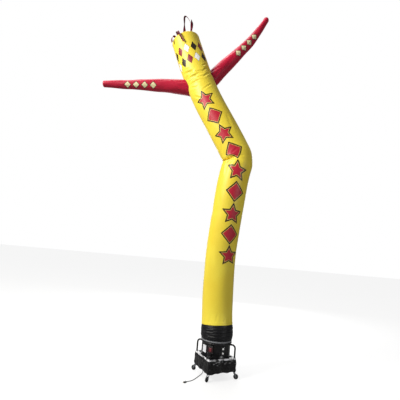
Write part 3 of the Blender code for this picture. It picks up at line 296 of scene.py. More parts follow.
def turned_mesh(name, profile, sides=64, closed=True):
    """A turned piece about Z through (radius, height) places, from its outline's start to its end."""
    turns = np.linspace(0.0, 2 * math.pi, sides, endpoint=False)
    points = np.array([[(radius * math.cos(turn), radius * math.sin(turn), height) for turn in turns]
                       for radius, height in (profile + profile[:1] if closed else profile)])
    around = np.linspace(0.0, 1.0, sides + 1)
    reach = max(radius for radius, _ in profile)
    lengths = np.concatenate([[0.0], np.cumsum([math.dist(a, b) for a, b in zip(profile, profile[1:])])])
    if closed:
        lengths = np.append(lengths, lengths[-1] + math.dist(profile[-1], profile[0]))
    maps = {"metres": np.stack(np.broadcast_arrays(around[None, :] * 2 * math.pi * reach, lengths[:, None]),
                               -1)}
    mesh = grid_mesh(name, points, closed=True, maps=maps)
    work = bmesh.new()
    work.from_mesh(mesh)
    bmesh.ops.remove_doubles(work, verts=work.verts, dist=1e-6)
    bmesh.ops.recalc_face_normals(work, faces=work.faces)
    work.to_mesh(mesh)
    work.free()
    mesh.shade_smooth()
    mesh.set_sharp_from_angle(angle=math.radians(38.0))
    return mesh


def tube_curve(name, points, radius, smoothness=5, closed=False):
    """A round bar, seam or cord along a run of points."""
    curve = bpy.data.curves.new(name, "CURVE")
    curve.dimensions = "3D"
    curve.bevel_depth = radius
    curve.bevel_resolution = smoothness
    curve.use_fill_caps = not closed
    run = curve.splines.new("POLY")
    run.points.add(len(points) - 1)
    for point, place in zip(run.points, points):
        point.co = (*place, 1.0)
    run.use_cyclic_u = closed
    run.use_smooth = True
    return curve


def block_mesh(name, low, high, rounding=0.002, steps=3):
    """A box between two corners with all its edges rounded."""
    work = bmesh.new()
    size = [top - bottom for bottom, top in zip(low, high)]
    middle = [(top + bottom) / 2 for bottom, top in zip(low, high)]
    bmesh.ops.create_cube(work, size=1.0, matrix=Matrix.Translation(middle) @ Matrix.Diagonal((*size, 1.0)))
    bmesh.ops.bevel(work, geom=work.edges[:], offset=rounding, segments=steps, profile=0.5, affect="EDGES")
    mesh = bpy.data.meshes.new(name)
    work.to_mesh(mesh)
    work.free()
    mesh.shade_smooth()
    mesh.set_sharp_from_angle(angle=math.radians(50.0))
    return mesh


def drum_side(bearing, height):
    """Places a piece on the drum: its Y is outward, X along the drum's side and Z up."""
    return Matrix.Translation((0.0, 0.0, height)) @ Matrix.Rotation(math.radians(bearing - 90.0), 4, "Z")


# ---- finishes ----
def colour(code):
    """A hex sRGB colour as linear light."""
    parts = [int(code[place:place + 2], 16) / 255 for place in (1, 3, 5)]
    return (*[part / 12.92 if part <= 0.04045 else ((part + 0.055) / 1.055) ** 2.4 for part in parts], 1.0)


# What each kind of node takes and gives: its chief setting, the sockets that its values go to
# in turn, and its output
NODE_KINDS = {
    "Math": ("operation", (0, 1, 2), 0),
    "Mix": ("data_type", (0, 6, 7), 2),
    "MapRange": ("data_type", (0, 1, 2, 3, 4), 0),
    "ValToRGB": ("interpolation", (0,), 0),
    "TexNoise": ("noise_dimensions", ("Scale", "Detail", "Roughness"), 0),
    "TexVoronoi": ("feature", ("Scale", "Randomness"), "Distance"),
    "TexCoord": ("object", (), "Object"),
    "SeparateXYZ": ("label", (0,), 0),
    "UVMap": ("uv_map", (), 0),
    "LightPath": ("label", (), "Is Camera Ray"),
    "Bump": ("invert", ("Strength", "Distance", "Height"), 0),
}


def add_node(tree, shader, kind, *values, out=None, into=None, stops=()):
    """Add a node with its settings and links. Its chief setting follows its kind after a space.
    A value is a number, a colour or the socket that feeds it. A texture lies over the object's
    own places in metres. A ramp's stops are (place, colour, clearness). With into, the node
    feeds that socket of the shader. With out, it gives back the outputs named there."""
    kind, _, setting = kind.partition(" ")
    chief, sockets, output = NODE_KINDS[kind]
    node = tree.nodes.new(f"ShaderNode{kind}")
    if setting:
        setattr(node.color_ramp if stops else node, chief, setting)
    for socket, value in zip(sockets, values):
        if isinstance(value, bpy.types.NodeSocket):
            tree.links.new(value, node.inputs[socket])
        else:
            node.inputs[socket].default_value = value
    if kind in ("TexNoise", "TexVoronoi"):
        tree.links.new(add_node(tree, shader, "TexCoord"), node.inputs["Vector"])
    while stops and len(node.color_ramp.elements) < len(stops):
        node.color_ramp.elements.new(1.0)
    for index, (place, code, clearness) in enumerate(stops):
        element = node.color_ramp.elements[index]
        element.position = place
        element.color = (*colour(code)[:3], clearness)
    if into:
        tree.links.new(node.outputs[output], shader.inputs[into])
    return [node.outputs[name] for name in out] if out else node.outputs[output]


def start_finish(name, **sockets):
    """A Principled material with these numbers on its own sockets, and what adds its nodes."""
    finish = bpy.data.materials.new(name)
    finish.use_nodes = True
    shader = finish.node_tree.nodes["Principled BSDF"]
    for socket, value in sockets.items():
        shader.inputs[socket.replace("_", " ").title().replace("Ior", "IOR")].default_value = value
    return finish, partial(add_node, finish.node_tree, shader)


def mapped(node, name):
    """The two parts of a UV map, in its own units."""
    return node("SeparateXYZ", node(f"UVMap {name}"), out=(0, 1))


def thread_grid(node, pitch, share):
    """The raised threads of a woven grid, 1 on a thread and 0 between, from the map in metres."""
    lines = []
    for part in mapped(node, "metres"):
        wave = node("Math PINGPONG", node("Math DIVIDE", part, pitch), 0.5)
        lines.append(node("MapRange", wave, 0.0, share, 1.0, 0.0))
    return node("Math MAXIMUM", *lines)


def seam_line(node, middle, width):
    """1 along a line round the cloth at a length up the map in metres, and 0 off it."""
    _, along = mapped(node, "metres")
    away = node("Math ABSOLUTE", node("Math SUBTRACT", along, middle))
    return node("Math LESS_THAN", away, width / 2)


def nylon_tone(node, light, deep):
    """Dyed cloth: a slow drift between two close colours, broken by a finer one."""
    drift = node("TexNoise", 1.7, 2.0, 0.55)
    fine = node("TexNoise", 60.0, 2.0, 0.55)
    spread = node("MapRange", node("Math MULTIPLY_ADD", fine, 0.25, drift), 0.40, 0.85)
    return node("Mix RGBA", spread, colour(light), colour(deep))


def star_distance(node, across, along, reach):
    """How far outside a five-pointed star a place is, in the map's units."""
    folded = node("Math PINGPONG", node("Math ARCTAN2", across, along), math.pi / 5)
    square = node("Math MULTIPLY", along, along)
    length = node("Math SQRT", node("Math MULTIPLY_ADD", across, across, square))
    forward = node("Math SUBTRACT", node("Math MULTIPLY", length, node("Math COSINE", folded)), reach)
    aside = node("Math MULTIPLY", length, node("Math SINE", folded))
    return node("Math ADD", node("Math MULTIPLY", forward, STAR_EDGE[0]),
                node("Math MULTIPLY", aside, STAR_EDGE[1]))


def diamond_distance(node, across, along, half_width, half_length):
    """How far outside a diamond a place is, in the map's units."""
    wide = node("Math DIVIDE", node("Math ABSOLUTE", across), half_width)
    long = node("Math DIVIDE", node("Math ABSOLUTE", along), half_length)
    past = node("Math SUBTRACT", node("Math ADD", wide, long), 1.0)
    return node("Math MULTIPLY", past, min(half_width, half_length) * 0.75)


def in_range(node, value, low, high):
    """1 where a value lies between two bounds, and 0 elsewhere."""
    return node("Math MULTIPLY", node("Math GREATER_THAN", value, low), node("Math LESS_THAN", value, high))


def off_middle(node, value):
    """How far a value is past the middle of its unit cell."""
    return node("Math SUBTRACT", node("Math FRACT", value), 0.5)


# The print. Lengths are in metres along the tube, and the star's edge leans by its cosine and sine
PRINT_PITCH = 0.31
PRINT_FIRST = 3.84
PRINT_COUNT = 9
STAR_EDGE = (0.4426, 0.8968)
HEAD_BAND = (4.47, 4.87)
HEAD_BAND_COLUMNS = 12
DARK_INK = "#2A0810"


def print_over(node, ground, distance, within, inks):
    """Lay a printed shape over the ground: inks by distance, -0.16 to 0.04 in the map's units."""
    place = node("MapRange", distance, -0.16, 0.04)
    ink, clearness = node("ValToRGB CONSTANT", place, stops=inks, out=(0, 1))
    return node("Mix RGBA", node("Math MULTIPLY", clearness, within), ground, ink)


def print_column(node, ground):
    """The tube's column of red stars and diamonds in turn, with cream and dark outlines."""
    across, along = mapped(node, "print")
    place = node("Math ADD", along, 0.5)
    beside = off_middle(node, place)
    odd = node("Math MODULO", node("Math FLOOR", place), 2.0)
    star = star_distance(node, across, node("Math SUBTRACT", 0.04, beside), 0.54)
    diamond = diamond_distance(node, across, beside, 0.46, 0.49)
    shape = node("Math ADD", node("Math MULTIPLY", diamond, odd),
                 node("Math MULTIPLY", star, node("Math SUBTRACT", 1.0, odd)))
    inks = ((0.0, "#C01838", 1.0), (0.42, "#EFD970", 1.0), (0.50, DARK_INK, 1.0), (0.80, DARK_INK, 0.0))
    return print_over(node, ground, shape, in_range(node, place, 0.0, PRINT_COUNT), inks)


def print_head_band(node, ground):
    """The head's harlequin band: white, black and dark red diamonds with a dark outline."""
    round_it, up_it = mapped(node, "metres")
    column = node("Math DIVIDE", round_it, 2 * math.pi * TUBE_RADIUS / HEAD_BAND_COLUMNS)
    row = node("Math DIVIDE", node("Math SUBTRACT", up_it, HEAD_BAND[0]), (HEAD_BAND[1] - HEAD_BAND[0]) / 2)
    cell = node("Math ADD", node("Math FLOOR", column), node("Math FLOOR", row))
    turn = node("Math DIVIDE", node("Math MODULO", node("Math ADD", cell, 9.0), 3.0), 3.0)
    suits = ((0.0, "#FBFAF4", 1.0), (0.30, "#221512", 1.0), (0.60, "#8E1A2C", 1.0))
    suit = node("ValToRGB CONSTANT", turn, stops=suits)
    edge = diamond_distance(node, off_middle(node, column), off_middle(node, row), 0.43, 0.46)
    band = in_range(node, up_it, *HEAD_BAND)
    for limit, ink in ((0.0, colour("#2A1A14")), (-0.030, suit)):
        inside = node("Math MULTIPLY", node("Math LESS_THAN", edge, limit), band)
        ground = node("Mix RGBA", inside, ground, ink)
    return ground


def finish_ripstop(node, ground, line_share, line_colour, bump):
    """The stouter threads of ripstop every 6 mm, and the crinkle of cloth that was packed."""
    grid = thread_grid(node, 0.006, 0.10)
    node("Mix RGBA", node("Math MULTIPLY", grid, line_share), ground, colour(line_colour), into="Base Color")
    crinkle = node("TexNoise", 34.0, 4.0, 0.6)
    node("Bump", bump, 0.0016, node("Math MULTIPLY_ADD", grid, 0.12, crinkle), into="Normal")


def make_yellow_ripstop():
    """Ripstop nylon, woven and coated, dyed yellow: soft sheen, and a faint grid of stouter
    threads every 6 mm. It is screen printed with a column of red stars and diamonds, and
    round the head with a harlequin band, all in plain inks."""
    finish, node = start_finish("yellow_ripstop_nylon_woven", roughness=0.44, sheen_weight=0.22,
                                sheen_roughness=0.35, ior=1.50, specular_ior_level=0.4)
    ground = print_column(node, nylon_tone(node, "#FAE64C", "#F2D338"))
    ground = print_head_band(node, ground)
    stitched = node("Math MAXIMUM", seam_line(node, HEM_END - 0.004, 0.003),
                    seam_line(node, HEM_START + 0.006, 0.003))
    ground = node("Mix RGBA", node("Math MULTIPLY", stitched, 0.55), ground, colour("#A88A1C"))
    finish_ripstop(node, ground, 0.10, "#B79A1A", 0.55)
    return finish


def make_red_ripstop():
    """The same ripstop nylon dyed crimson, printed with four cream diamonds in a dark outline."""
    finish, node = start_finish("red_ripstop_nylon_woven", roughness=0.42, sheen_weight=0.08,
                                sheen_roughness=0.4,
                                sheen_tint=colour("#FF8A9A"), ior=1.50, specular_ior_level=0.35)
    across, along = mapped(node, "print")
    diamond = diamond_distance(node, across, off_middle(node, node("Math ADD", along, 0.5)), 0.46, 0.44)
    inks = ((0.0, "#E9DFB0", 1.0), (0.50, DARK_INK, 1.0), (0.80, DARK_INK, 0.0))
    ground = nylon_tone(node, "#CE1A3E", "#9C0F2E")
    ground = print_over(node, ground, diamond, in_range(node, along, -0.5, 3.5), inks)
    finish_ripstop(node, ground, 0.14, "#6E0A1E", 0.5)
    return finish


def make_ribbon_nylon():
    """Narrow nylon ribbon, hot cut and dyed dark red: dull, with a fine rib across its width."""
    finish, node = start_finish("dark_red_ribbon_nylon", roughness=0.5, sheen_weight=0.06,
                                sheen_roughness=0.4,
                                ior=1.50, specular_ior_level=0.3)
    rib = node("Math PINGPONG", node("Math DIVIDE", mapped(node, "metres")[1], 0.003), 0.5)
    tone = nylon_tone(node, "#7E1028", "#560A1E")
    node("Mix RGBA", node("Math MULTIPLY", rib, 0.4), tone, colour("#3C0612"), into="Base Color")
    node("Bump", 0.6, 0.0010, node("Math ADD", rib, node("TexNoise", 50.0, 3.0, 0.55)), into="Normal")
    return finish


def make_oxford_cloth():
    """600 denier oxford polyester, woven and backed: black, a basket weave with threads about
    1 mm wide, drawn at 1.6 mm to show, and a dull gloss where it is creased."""
    finish, node = start_finish("black_oxford_polyester_woven", sheen_weight=0.04, sheen_roughness=0.35,
                                ior=1.50, specular_ior_level=0.3)
    warp, weft = [node("Math SINE",
                       node("Math MULTIPLY", part, 2 * math.pi / 0.0016)) for part in mapped(node, "metres")]
    weave = node("Math MULTIPLY_ADD", node("Math MULTIPLY", warp, weft), 0.5, 0.5)
    tone = node("Mix RGBA", weave, colour("#09090C"), colour("#121217"))
    dust = node("MapRange", node("TexNoise", 9.0, 4.0, 0.6), 0.5, 0.75)
    node("Mix RGBA", node("Math MULTIPLY", dust, 0.30), tone, colour("#2A2B30"), into="Base Color")
    node("MapRange", node("TexNoise", 22.0, 3.0, 0.55), 0.3, 0.7, 0.36, 0.58, into="Roughness")
    node("Bump", 0.6, 0.0016, node("Math MULTIPLY_ADD", weave, 0.15, node("TexNoise", 45.0, 4.0, 0.55)),
         into="Normal")
    return finish


def make_webbing():
    """Polypropylene webbing, woven flat: grey, with a herringbone 3 mm wide."""
    finish, node = start_finish("grey_polypropylene_webbing", roughness=0.42, sheen_weight=0.3,
                                sheen_roughness=0.3,
                                ior=1.49)
    across, along = mapped(node, "metres")
    slant = node("Math ADD", across, node("Math PINGPONG", along, 0.003))
    wave = node("Math SINE", node("Math MULTIPLY", slant, 2 * math.pi / 0.003))
    height = node("Math MULTIPLY_ADD", wave, 0.5, 0.5)
    node("Mix RGBA", height, colour("#4E5054"), colour("#9A9CA2"), into="Base Color")
    node("Bump", 0.7, 0.0006, height, into="Normal")
    return finish


def make_coated_nylon():
    """Nylon with a glossy polyurethane coat: black, crumpled when it was packed, so that it
    shines along its creases."""
    finish, node = start_finish("black_coated_nylon", coat_weight=0.6, coat_roughness=0.10, ior=1.50,
                                specular_ior_level=0.1)
    smear = node("TexNoise", 14.0, 5.0, 0.65)
    tones = ((0.35, "#030305", 1.0), (0.62, "#08070B", 1.0), (0.80, "#121116", 1.0))
    node("ValToRGB", smear, stops=tones, into="Base Color")
    node("MapRange", smear, 0.3, 0.75, 0.24, 0.5, into="Roughness")
    crease = node("Math MINIMUM", node("TexVoronoi DISTANCE_TO_EDGE", 38.0, 1.0), 0.25)
    node("Bump", 0.9, 0.008, node("Math ADD", crease, node("TexNoise", 55.0, 4.0, 0.6)), into="Normal")
    return finish


def make_steel_enamel():
    """Pressed steel with black stoved enamel: a smooth gloss coat with faint orange peel,
    and road dust in its low places."""
    finish, node = start_finish("black_enamelled_steel", coat_weight=0.3, coat_roughness=0.14, ior=1.52,
                                specular_ior_level=0.25)
    dust = node("MapRange", node("TexNoise", 11.0, 5.0, 0.65), 0.50, 0.78)
    node("Mix RGBA", node("Math MULTIPLY", dust, 0.25), colour("#050508"), colour("#2C2C34"),
         into="Base Color")
    node("Math MULTIPLY_ADD", dust, 0.30, 0.26, into="Roughness")
    peel = node("Math MULTIPLY_ADD", node("TexNoise", 9.0, 2.0, 0.55), 2.0,
                node("TexNoise", 220.0, 1.0, 0.55))
    node("Bump", 0.5, 0.0010, peel, into="Normal")
    return finish


def make_enamel_with_painted_highlight():
    """The same enamelled steel, with a painted highlight on the frame's outer lip: pale and glossy
    in broken spots painted on the upright faces for the rim's bright reflection, black on the rest."""
    finish, node = start_finish("black_enamelled_steel_painted_highlight_lip", coat_weight=0.5, coat_roughness=0.14,
                                ior=1.52)
    lean = node("SeparateXYZ", node("TexCoord", out=("Normal",))[0], out=(2,))[0]
    upright = node("Math LESS_THAN", node("Math ABSOLUTE", lean), 0.75)
    patches = node("MapRange", node("TexNoise", 16.0, 4.0, 0.6), 0.42, 0.54)
    # Painted highlight: near-white in broken spots on the upright faces, standing for the bright reflection
    # along the frame's rim
    node("Mix RGBA", node("Math MULTIPLY", upright, patches), colour("#131319"), colour("#FAFAFF"),
         into="Base Color")
    node("Math MULTIPLY_ADD", patches, -0.12, 0.40, into="Roughness")
    node("Bump", 0.5, 0.0006, patches, into="Normal")
    return finish


def make_zinc_plate():
    """Pressed steel with bright zinc plate: metal with a fine cloudy grain and dull patches."""
    finish, node = start_finish("zinc_plated_steel", metallic=1.0)
    cloud = node("TexNoise", 70.0, 4.0, 0.6)
    node("Mix RGBA", cloud, colour("#B9BCC2"), colour("#7F838A"), into="Base Color")
    node("Math MULTIPLY_ADD", cloud, 0.30, 0.14, into="Roughness")
    node("Bump", 0.4, 0.0004, cloud, into="Normal")
    return finish


def make_tyre_rubber():
    """Moulded black rubber: dull, scuffed grey where it rolls."""
    finish, node = start_finish("black_rubber_moulded", roughness=0.78, ior=1.52)
    scuff = node("MapRange", node("TexNoise", 90.0, 5.0, 0.7), 0.5, 0.72)
    node("Mix RGBA", node("Math MULTIPLY", scuff, 0.5), colour("#0E0E0F"), colour("#33322F"),
         into="Base Color")
    node("Bump", 0.6, 0.0004, scuff, into="Normal")
    return finish


def make_moulded_plastic(name, light, deep, roughness):
    """Plastic, injection moulded in a fine spark-eroded texture of about 0.5 mm, drawn at 1 mm."""
    finish, node = start_finish(name, ior=1.53)
    grain = node("TexNoise", 1000.0, 2.0, 0.55)
    node("Mix RGBA", node("TexNoise", 25.0, 3.0, 0.55), colour(light), colour(deep), into="Base Color")
    node("Math MULTIPLY_ADD", grain, 0.16, roughness - 0.08, into="Roughness")
    node("Bump", 0.5, 0.0002, grain, into="Normal")
    return finish


def make_clear_red():
    """Polycarbonate, moulded clear red over a neon lamp: smooth, and deep in colour."""
    finish, node = start_finish("red_polycarbonate_moulded", roughness=0.16, ior=1.58, coat_weight=0.5,
                                coat_roughness=0.08, specular_ior_level=0.4)
    depth = node("TexNoise", 60.0, 2.0, 0.55)
    node("Mix RGBA", depth, colour("#8C2E38"), colour("#4C1018"), into="Base Color")
    node("Bump", 0.4, 0.0002, depth, into="Normal")
    return finish


def make_label_film():
    """White polyester film, left blank: satin, with a slight lift and grime along its edge."""
    finish, node = start_finish("white_polyester_film", coat_weight=0.2, coat_roughness=0.2, ior=1.57)
    grime = node("MapRange", node("TexNoise", 40.0, 5.0, 0.7), 0.52, 0.8)
    node("Mix RGBA", node("Math MULTIPLY", grime, 0.4), colour("#E9EAF0"), colour("#A9A9AE"),
         into="Base Color")
    node("Math MULTIPLY_ADD", grime, 0.2, 0.3, into="Roughness")
    node("Bump", 0.4, 0.0003, grime, into="Normal")
    return finish


def make_cord_vinyl():
    """Extruded vinyl sheath: dark grey, with faint draw lines and scuffs."""
    finish, node = start_finish("grey_vinyl_sheath_extruded", ior=1.53)
    scuff = node("TexNoise", 120.0, 4.0, 0.65)
    node("Mix RGBA", scuff, colour("#202022"), colour("#3A3A3E"), into="Base Color")
    node("Math MULTIPLY_ADD", scuff, 0.3, 0.25, into="Roughness")
    node("Bump", 0.5, 0.0003, scuff, into="Normal")
    return finish


def make_brass():
    """Rolled brass, punched and tumbled: warm metal with fine rubbing marks."""
    finish, node = start_finish("rolled_brass", metallic=1.0)
    rub = node("TexNoise", 400.0, 3.0, 0.55)
    node("Mix RGBA", rub, colour("#D9B56A"), colour("#B08A45"), into="Base Color")
    node("Math MULTIPLY_ADD", rub, 0.25, 0.15, into="Roughness")
    return finish


YELLOW = make_yellow_ripstop()
RED = make_red_ripstop()
RIBBON = make_ribbon_nylon()
OXFORD = make_oxford_cloth()
WEBBING = make_webbing()
COATED = make_coated_nylon()
ENAMEL = make_steel_enamel()
# The frame's enamel, with a painted highlight on its upright faces
ENAMEL_PAINTED_HIGHLIGHT = make_enamel_with_painted_highlight()
ZINC = make_zinc_plate()
RUBBER = make_tyre_rubber()
BLACK_ABS = make_moulded_plastic("black_abs_moulded", "#0A0A0B", "#121214", 0.42)
GREY_HUB = make_moulded_plastic("grey_polypropylene_moulded", "#303134", "#222326", 0.5)
DARK_RED_ABS = make_moulded_plastic("dark_red_abs_moulded", "#3E0A12", "#2A060C", 0.38)
WHITE_PLASTIC = make_moulded_plastic("white_abs_moulded", "#FDFDFD", "#F2F2F4", 0.36)
CLEAR_RED = make_clear_red()
FILM = make_label_film()
VINYL = make_cord_vinyl()
BRASS = make_brass()


# ---- the tube's own geometry, as its solid has it ----
def walk_axis():
    """Centres and directions along the tube's axis, found by following its leans."""
    along = np.arange(round(LEANS["along"][-1] / AXIS_STEP) + 1) * AXIS_STEP
    side = np.radians(np.interp(along, LEANS["along"], LEANS["side"]))
    front = np.radians(np.interp(along, LEANS["along"], LEANS["front"]))
    ways = np.stack([np.tan(side), -np.tan(front), np.ones_like(along)], -1)
    ways /= np.linalg.norm(ways, axis=1, keepdims=True)
    centres = np.vstack([np.zeros(3), np.cumsum(ways * AXIS_STEP, axis=0)[:-1]]) + (0.0, 0.0, SLEEVE_FOOT)
    return along, centres, ways


AXIS = walk_axis()


def frames_at(along):
    """The tube's centres at lengths along it, and its directions right, back and up."""
    along = np.asarray(along, float)
    centre = np.stack([np.interp(along, AXIS[0], AXIS[1][:, part]) for part in range(3)], -1)
    up = np.stack([np.interp(along, AXIS[0], AXIS[2][:, part]) for part in range(3)], -1)
    up /= np.linalg.norm(up, axis=-1, keepdims=True)
    right = np.cross(np.array([0.0, 1.0, 0.0]), up)
    right /= np.linalg.norm(right, axis=-1, keepdims=True)
    return centre, right, np.cross(up, right), up


def fold_depth(folds, along, bearing, radius):
    """How deep the solid's folds press in."""
    depth = 0.0
    for at_along, at_bearing, deep, reach, breadth, slant in folds:
        round_it = np.radians((bearing - at_bearing + 180.0) % 360.0 - 180.0) * radius
        up_it = along - at_along
        slant = math.radians(slant)
        on_line = round_it * math.cos(slant) + up_it * math.sin(slant)
        off_line = up_it * math.cos(slant) - round_it * math.sin(slant)
        depth = depth + deep * np.exp(-(on_line / reach) ** 2 - (off_line / breadth) ** 2)
    return depth


def tube_radius(along, bearing):
    """Inner radius of the yellow tube, with its hem, tucks and folds."""
    tuck = 0.5 + 0.5 * np.cos(np.radians(bearing * HEM_TUCKS))
    fade = np.exp(-((along - HEM_START) / HEM_TUCK_FADE) ** 2)
    hem = np.where(along <= HEM_END, HEM_PROUD, 0.0)
    girth = np.interp(along, GIRTHS["along"], GIRTHS["extra"])
    return (TUBE_RADIUS + girth + hem - HEM_TUCK_DEPTH * tuck * fade
            - fold_depth(TUBE_FOLDS, along, bearing, TUBE_RADIUS))


def crease_depth(creases, along, bearing, radius):
    """Depth of fine creases, each a straight line on the unrolled cloth that fades at its ends,
    with a low ridge on each side. A negative depth is a ridge."""
    depth = np.zeros(np.broadcast(along, bearing).shape)
    for along_1, bearing_1, along_2, bearing_2, deep, width in creases:
        line = np.array([math.radians(bearing_2 - bearing_1) * radius, along_2 - along_1])
        round_it = np.radians((bearing - bearing_1 + 180.0) % 360.0 - 180.0) * radius
        up_it = along - along_1
        share = np.clip((round_it * line[0] + up_it * line[1]) / (line @ line), 0.0, 1.0)
        away = np.hypot(round_it - share * line[0], up_it - share * line[1])
        trough = np.exp(-(away / width) ** 2) - 0.4 * np.exp(-((away - 2.0 * width) / width) ** 2)
        depth += deep * trough * np.sqrt(np.clip(4.0 * share * (1.0 - share), 0.0, 1.0))
    return depth


def ripple(along, bearing, waves):
    """Slow, uneven swelling of blown-up cloth: waves of (turns round, length up, size, start)."""
    total = 0.0
    for turns, length, size, start in waves:
        total = total + size * np.sin(np.radians(bearing) * turns + 2 * math.pi * along / length + start)
    return total


def tube_places(along, bearing, reach):
    """World places at lengths along the tube, bearings about it and reaches from its axis."""
    centre, right, back, _ = frames_at(along)
    turn = np.radians(bearing)[..., None]
    return centre + reach[..., None] * (np.cos(turn) * right + np.sin(turn) * back)


# Fine creases of the tube: along and bearing of both ends, depth and width
TUBE_CREASES = (
    # under the arms and across the chest
    (4.410, 206, 4.345, 254, 0.0100, 0.016), (4.300, 208, 4.262, 262, 0.0110, 0.016),
    (4.250, 226, 4.205, 278, 0.0090, 0.014),
    (4.200, 216, 4.160, 262, 0.0060, 0.012), (4.150, 206, 4.080, 244, 0.0060, 0.013),
    (4.330, 240, 4.300, 292, 0.0050, 0.012),
    (4.380, 318, 4.300, 286, 0.0060, 0.013), (4.280, 320, 4.190, 276, 0.0060, 0.014),
    (4.040, 300, 3.990, 256, 0.0045, 0.013),
    (3.990, 212, 3.880, 238, 0.0050, 0.014), (4.460, 214, 4.420, 244, 0.0045, 0.012),
    (4.450, 322, 4.400, 292, 0.0045, 0.012),
    # the back between the arms
    (4.380, 140, 4.250, 100, 0.0070, 0.016), (4.280, 150, 4.180, 96, 0.0070, 0.015),
    (4.400, 36, 4.280, 78, 0.0070, 0.016),
    (4.280, 34, 4.170, 84, 0.0070, 0.015), (4.060, 150, 3.960, 112, 0.0050, 0.014),
    (4.080, 26, 3.980, 62, 0.0050, 0.014),
    # the bend: the kink itself and what runs out from it
    (2.895, 186, 2.832, 240, 0.0060, 0.018), (2.826, 214, 2.480, 220, -0.0080, 0.022),
    (2.810, 236, 2.720, 282, 0.0045, 0.020),
    (2.760, 206, 2.600, 222, 0.0040, 0.018), (2.880, 240, 2.930, 280, 0.0030, 0.016),
    (2.930, 206, 3.120, 226, 0.0055, 0.015),
    (2.820, 244, 2.800, 288, 0.0045, 0.013), (2.740, 166, 2.600, 140, 0.0065, 0.016),
    (2.850, 160, 2.980, 134, 0.0060, 0.016),
    (2.800, 150, 2.780, 108, 0.0060, 0.015), (2.690, 186, 2.500, 180, 0.0060, 0.018),
    (2.900, 176, 3.080, 172, 0.0060, 0.018),
    (2.860, 20, 2.790, 344, 0.0040, 0.016), (2.720, 24, 2.760, 346, 0.0040, 0.016),
    # the long walls: soft drag lines
    (3.640, 196, 3.380, 214, 0.0030, 0.022), (3.500, 300, 3.200, 286, 0.0030, 0.024),
    (2.300, 214, 2.020, 236, 0.0035, 0.024),
    (1.960, 190, 1.620, 206, 0.0035, 0.024), (1.500, 226, 1.180, 240, 0.0030, 0.026),
    (1.100, 200, 0.760, 214, 0.0030, 0.026),
    (2.160, 330, 1.860, 318, 0.0030, 0.024), (1.300, 330, 0.980, 316, 0.0030, 0.026),
    (3.400, 96, 3.060, 80, 0.0035, 0.024),
    (2.200, 100, 1.760, 84, 0.0035, 0.026), (1.300, 88, 0.860, 104, 0.0035, 0.026),
    # above the hem
    (0.290, 204, 0.420, 212, 0.0030, 0.012), (0.285, 236, 0.380, 242, 0.0026, 0.011),
    (0.290, 262, 0.440, 268, 0.0028, 0.012),
    (0.285, 292, 0.370, 296, 0.0026, 0.011), (0.290, 322, 0.420, 330, 0.0030, 0.012),
    (0.290, 352, 0.400, 356, 0.0028, 0.012),
    (0.290, 30, 0.430, 36, 0.0030, 0.012), (0.290, 74, 0.400, 70, 0.0028, 0.012),
    (0.290, 118, 0.420, 124, 0.0030, 0.012),
    (0.290, 160, 0.410, 166, 0.0030, 0.012),
)
TUBE_WAVES = ((2, 2.9, 0.0014, 0.4), (3, -1.7, 0.0011, 2.0), (5, 1.1, 0.0008, 4.1), (4, -0.83, 0.0007, 1.3))
TUBE_ROWS = {"end": (0.56, 2.52, 3.06, 3.85, 4.52, 4.90, HEAD_TOP),
             "spacing": (0.006, 0.015, 0.006, 0.014, 0.006, 0.012, 0.006)}
TUBE_COLUMNS = 156
PRINT_LINE = {"along": (1.20, 1.70, 2.03, 2.38, 2.66, 2.95, 3.30, 3.82),
              "bearing": (299, 290, 284, 281, 268, 252, 251, 249)}


def seam_pucker(distance, bearing, depth, reach, gathers):
    """Little gathers along a sewn line, dying out away from it."""
    uneven = np.sin(np.radians(bearing) * gathers) + 0.6 * np.sin(np.radians(bearing) * (gathers * 0.62) // 1
            * 1.0 + 1.1)
    return depth * uneven * np.exp(-np.abs(distance) / reach)


def tube_surface(along, bearing):
    """Outer reach of the yellow cloth with its fine creases."""
    reach = tube_radius(along, bearing) + CLOTH - crease_depth(TUBE_CREASES, along, bearing, TUBE_RADIUS)
    gathers = seam_pucker(along - HEM_END, bearing, 0.0009, 0.030, 62) + seam_pucker(HEAD_TOP - along,
            bearing, 0.0008, 0.022, 54)
    still = 1.0 - np.exp(-((HEAD_TOP - along) / 0.05) ** 2)
    return reach + gathers + ripple(along, bearing, TUBE_WAVES) * still * np.clip((along - HEM_END) / 0.2,
            0.0, 1.0)


def arm_axis(arm):
    """Centres and directions along an arm, as it leaves the tube's axis."""
    rows = ARM_ROWS[arm]
    start, _, back, _ = frames_at(ARM_ALONG)
    out = np.arange(round(rows["out"][-1] / AXIS_STEP) + 1) * AXIS_STEP
    rise = np.radians(np.interp(out, rows["out"], rows["rise"]))
    ways = np.stack([rows["side"] * np.cos(rise), np.zeros_like(out), np.sin(rise)], -1)
    centres = np.vstack([np.zeros(3), np.cumsum(ways * AXIS_STEP, axis=0)[:-1]]) + start + back * ARM_BACK
    return out, centres, ways


def arm_places(arm, out, turn, reach):
    """World places at lengths out along an arm, turns round it in radians and reaches."""
    steps, centres, ways = arm_axis(arm)
    centre = np.stack([np.interp(out, steps, centres[:, part]) for part in range(3)], -1)
    way = np.stack([np.interp(out, steps, ways[:, part]) for part in range(3)], -1)
    way /= np.linalg.norm(way, axis=-1, keepdims=True)
    across = np.cross(way, np.array([0.0, 1.0, 0.0]))
    across /= np.linalg.norm(across, axis=-1, keepdims=True)
    front = np.cross(way, across)
    return centre + reach[..., None] * (np.cos(turn)[..., None] * across + np.sin(turn)[..., None] * front)


def reach_from_tube(places):
    """How far places lie from the tube's axis, with the length along it and the bearing."""
    along = np.full(places.shape[:-1], ARM_ALONG)
    for _ in range(6):
        centre, right, back, up = frames_at(along)
        along = along + np.sum((places - centre) * up, axis=-1)
    centre, right, back, up = frames_at(along)
    side = np.sum((places - centre) * right, axis=-1)
    behind = np.sum((places - centre) * back, axis=-1)
    return np.hypot(side, behind), along, np.degrees(np.arctan2(behind, side)) % 360.0


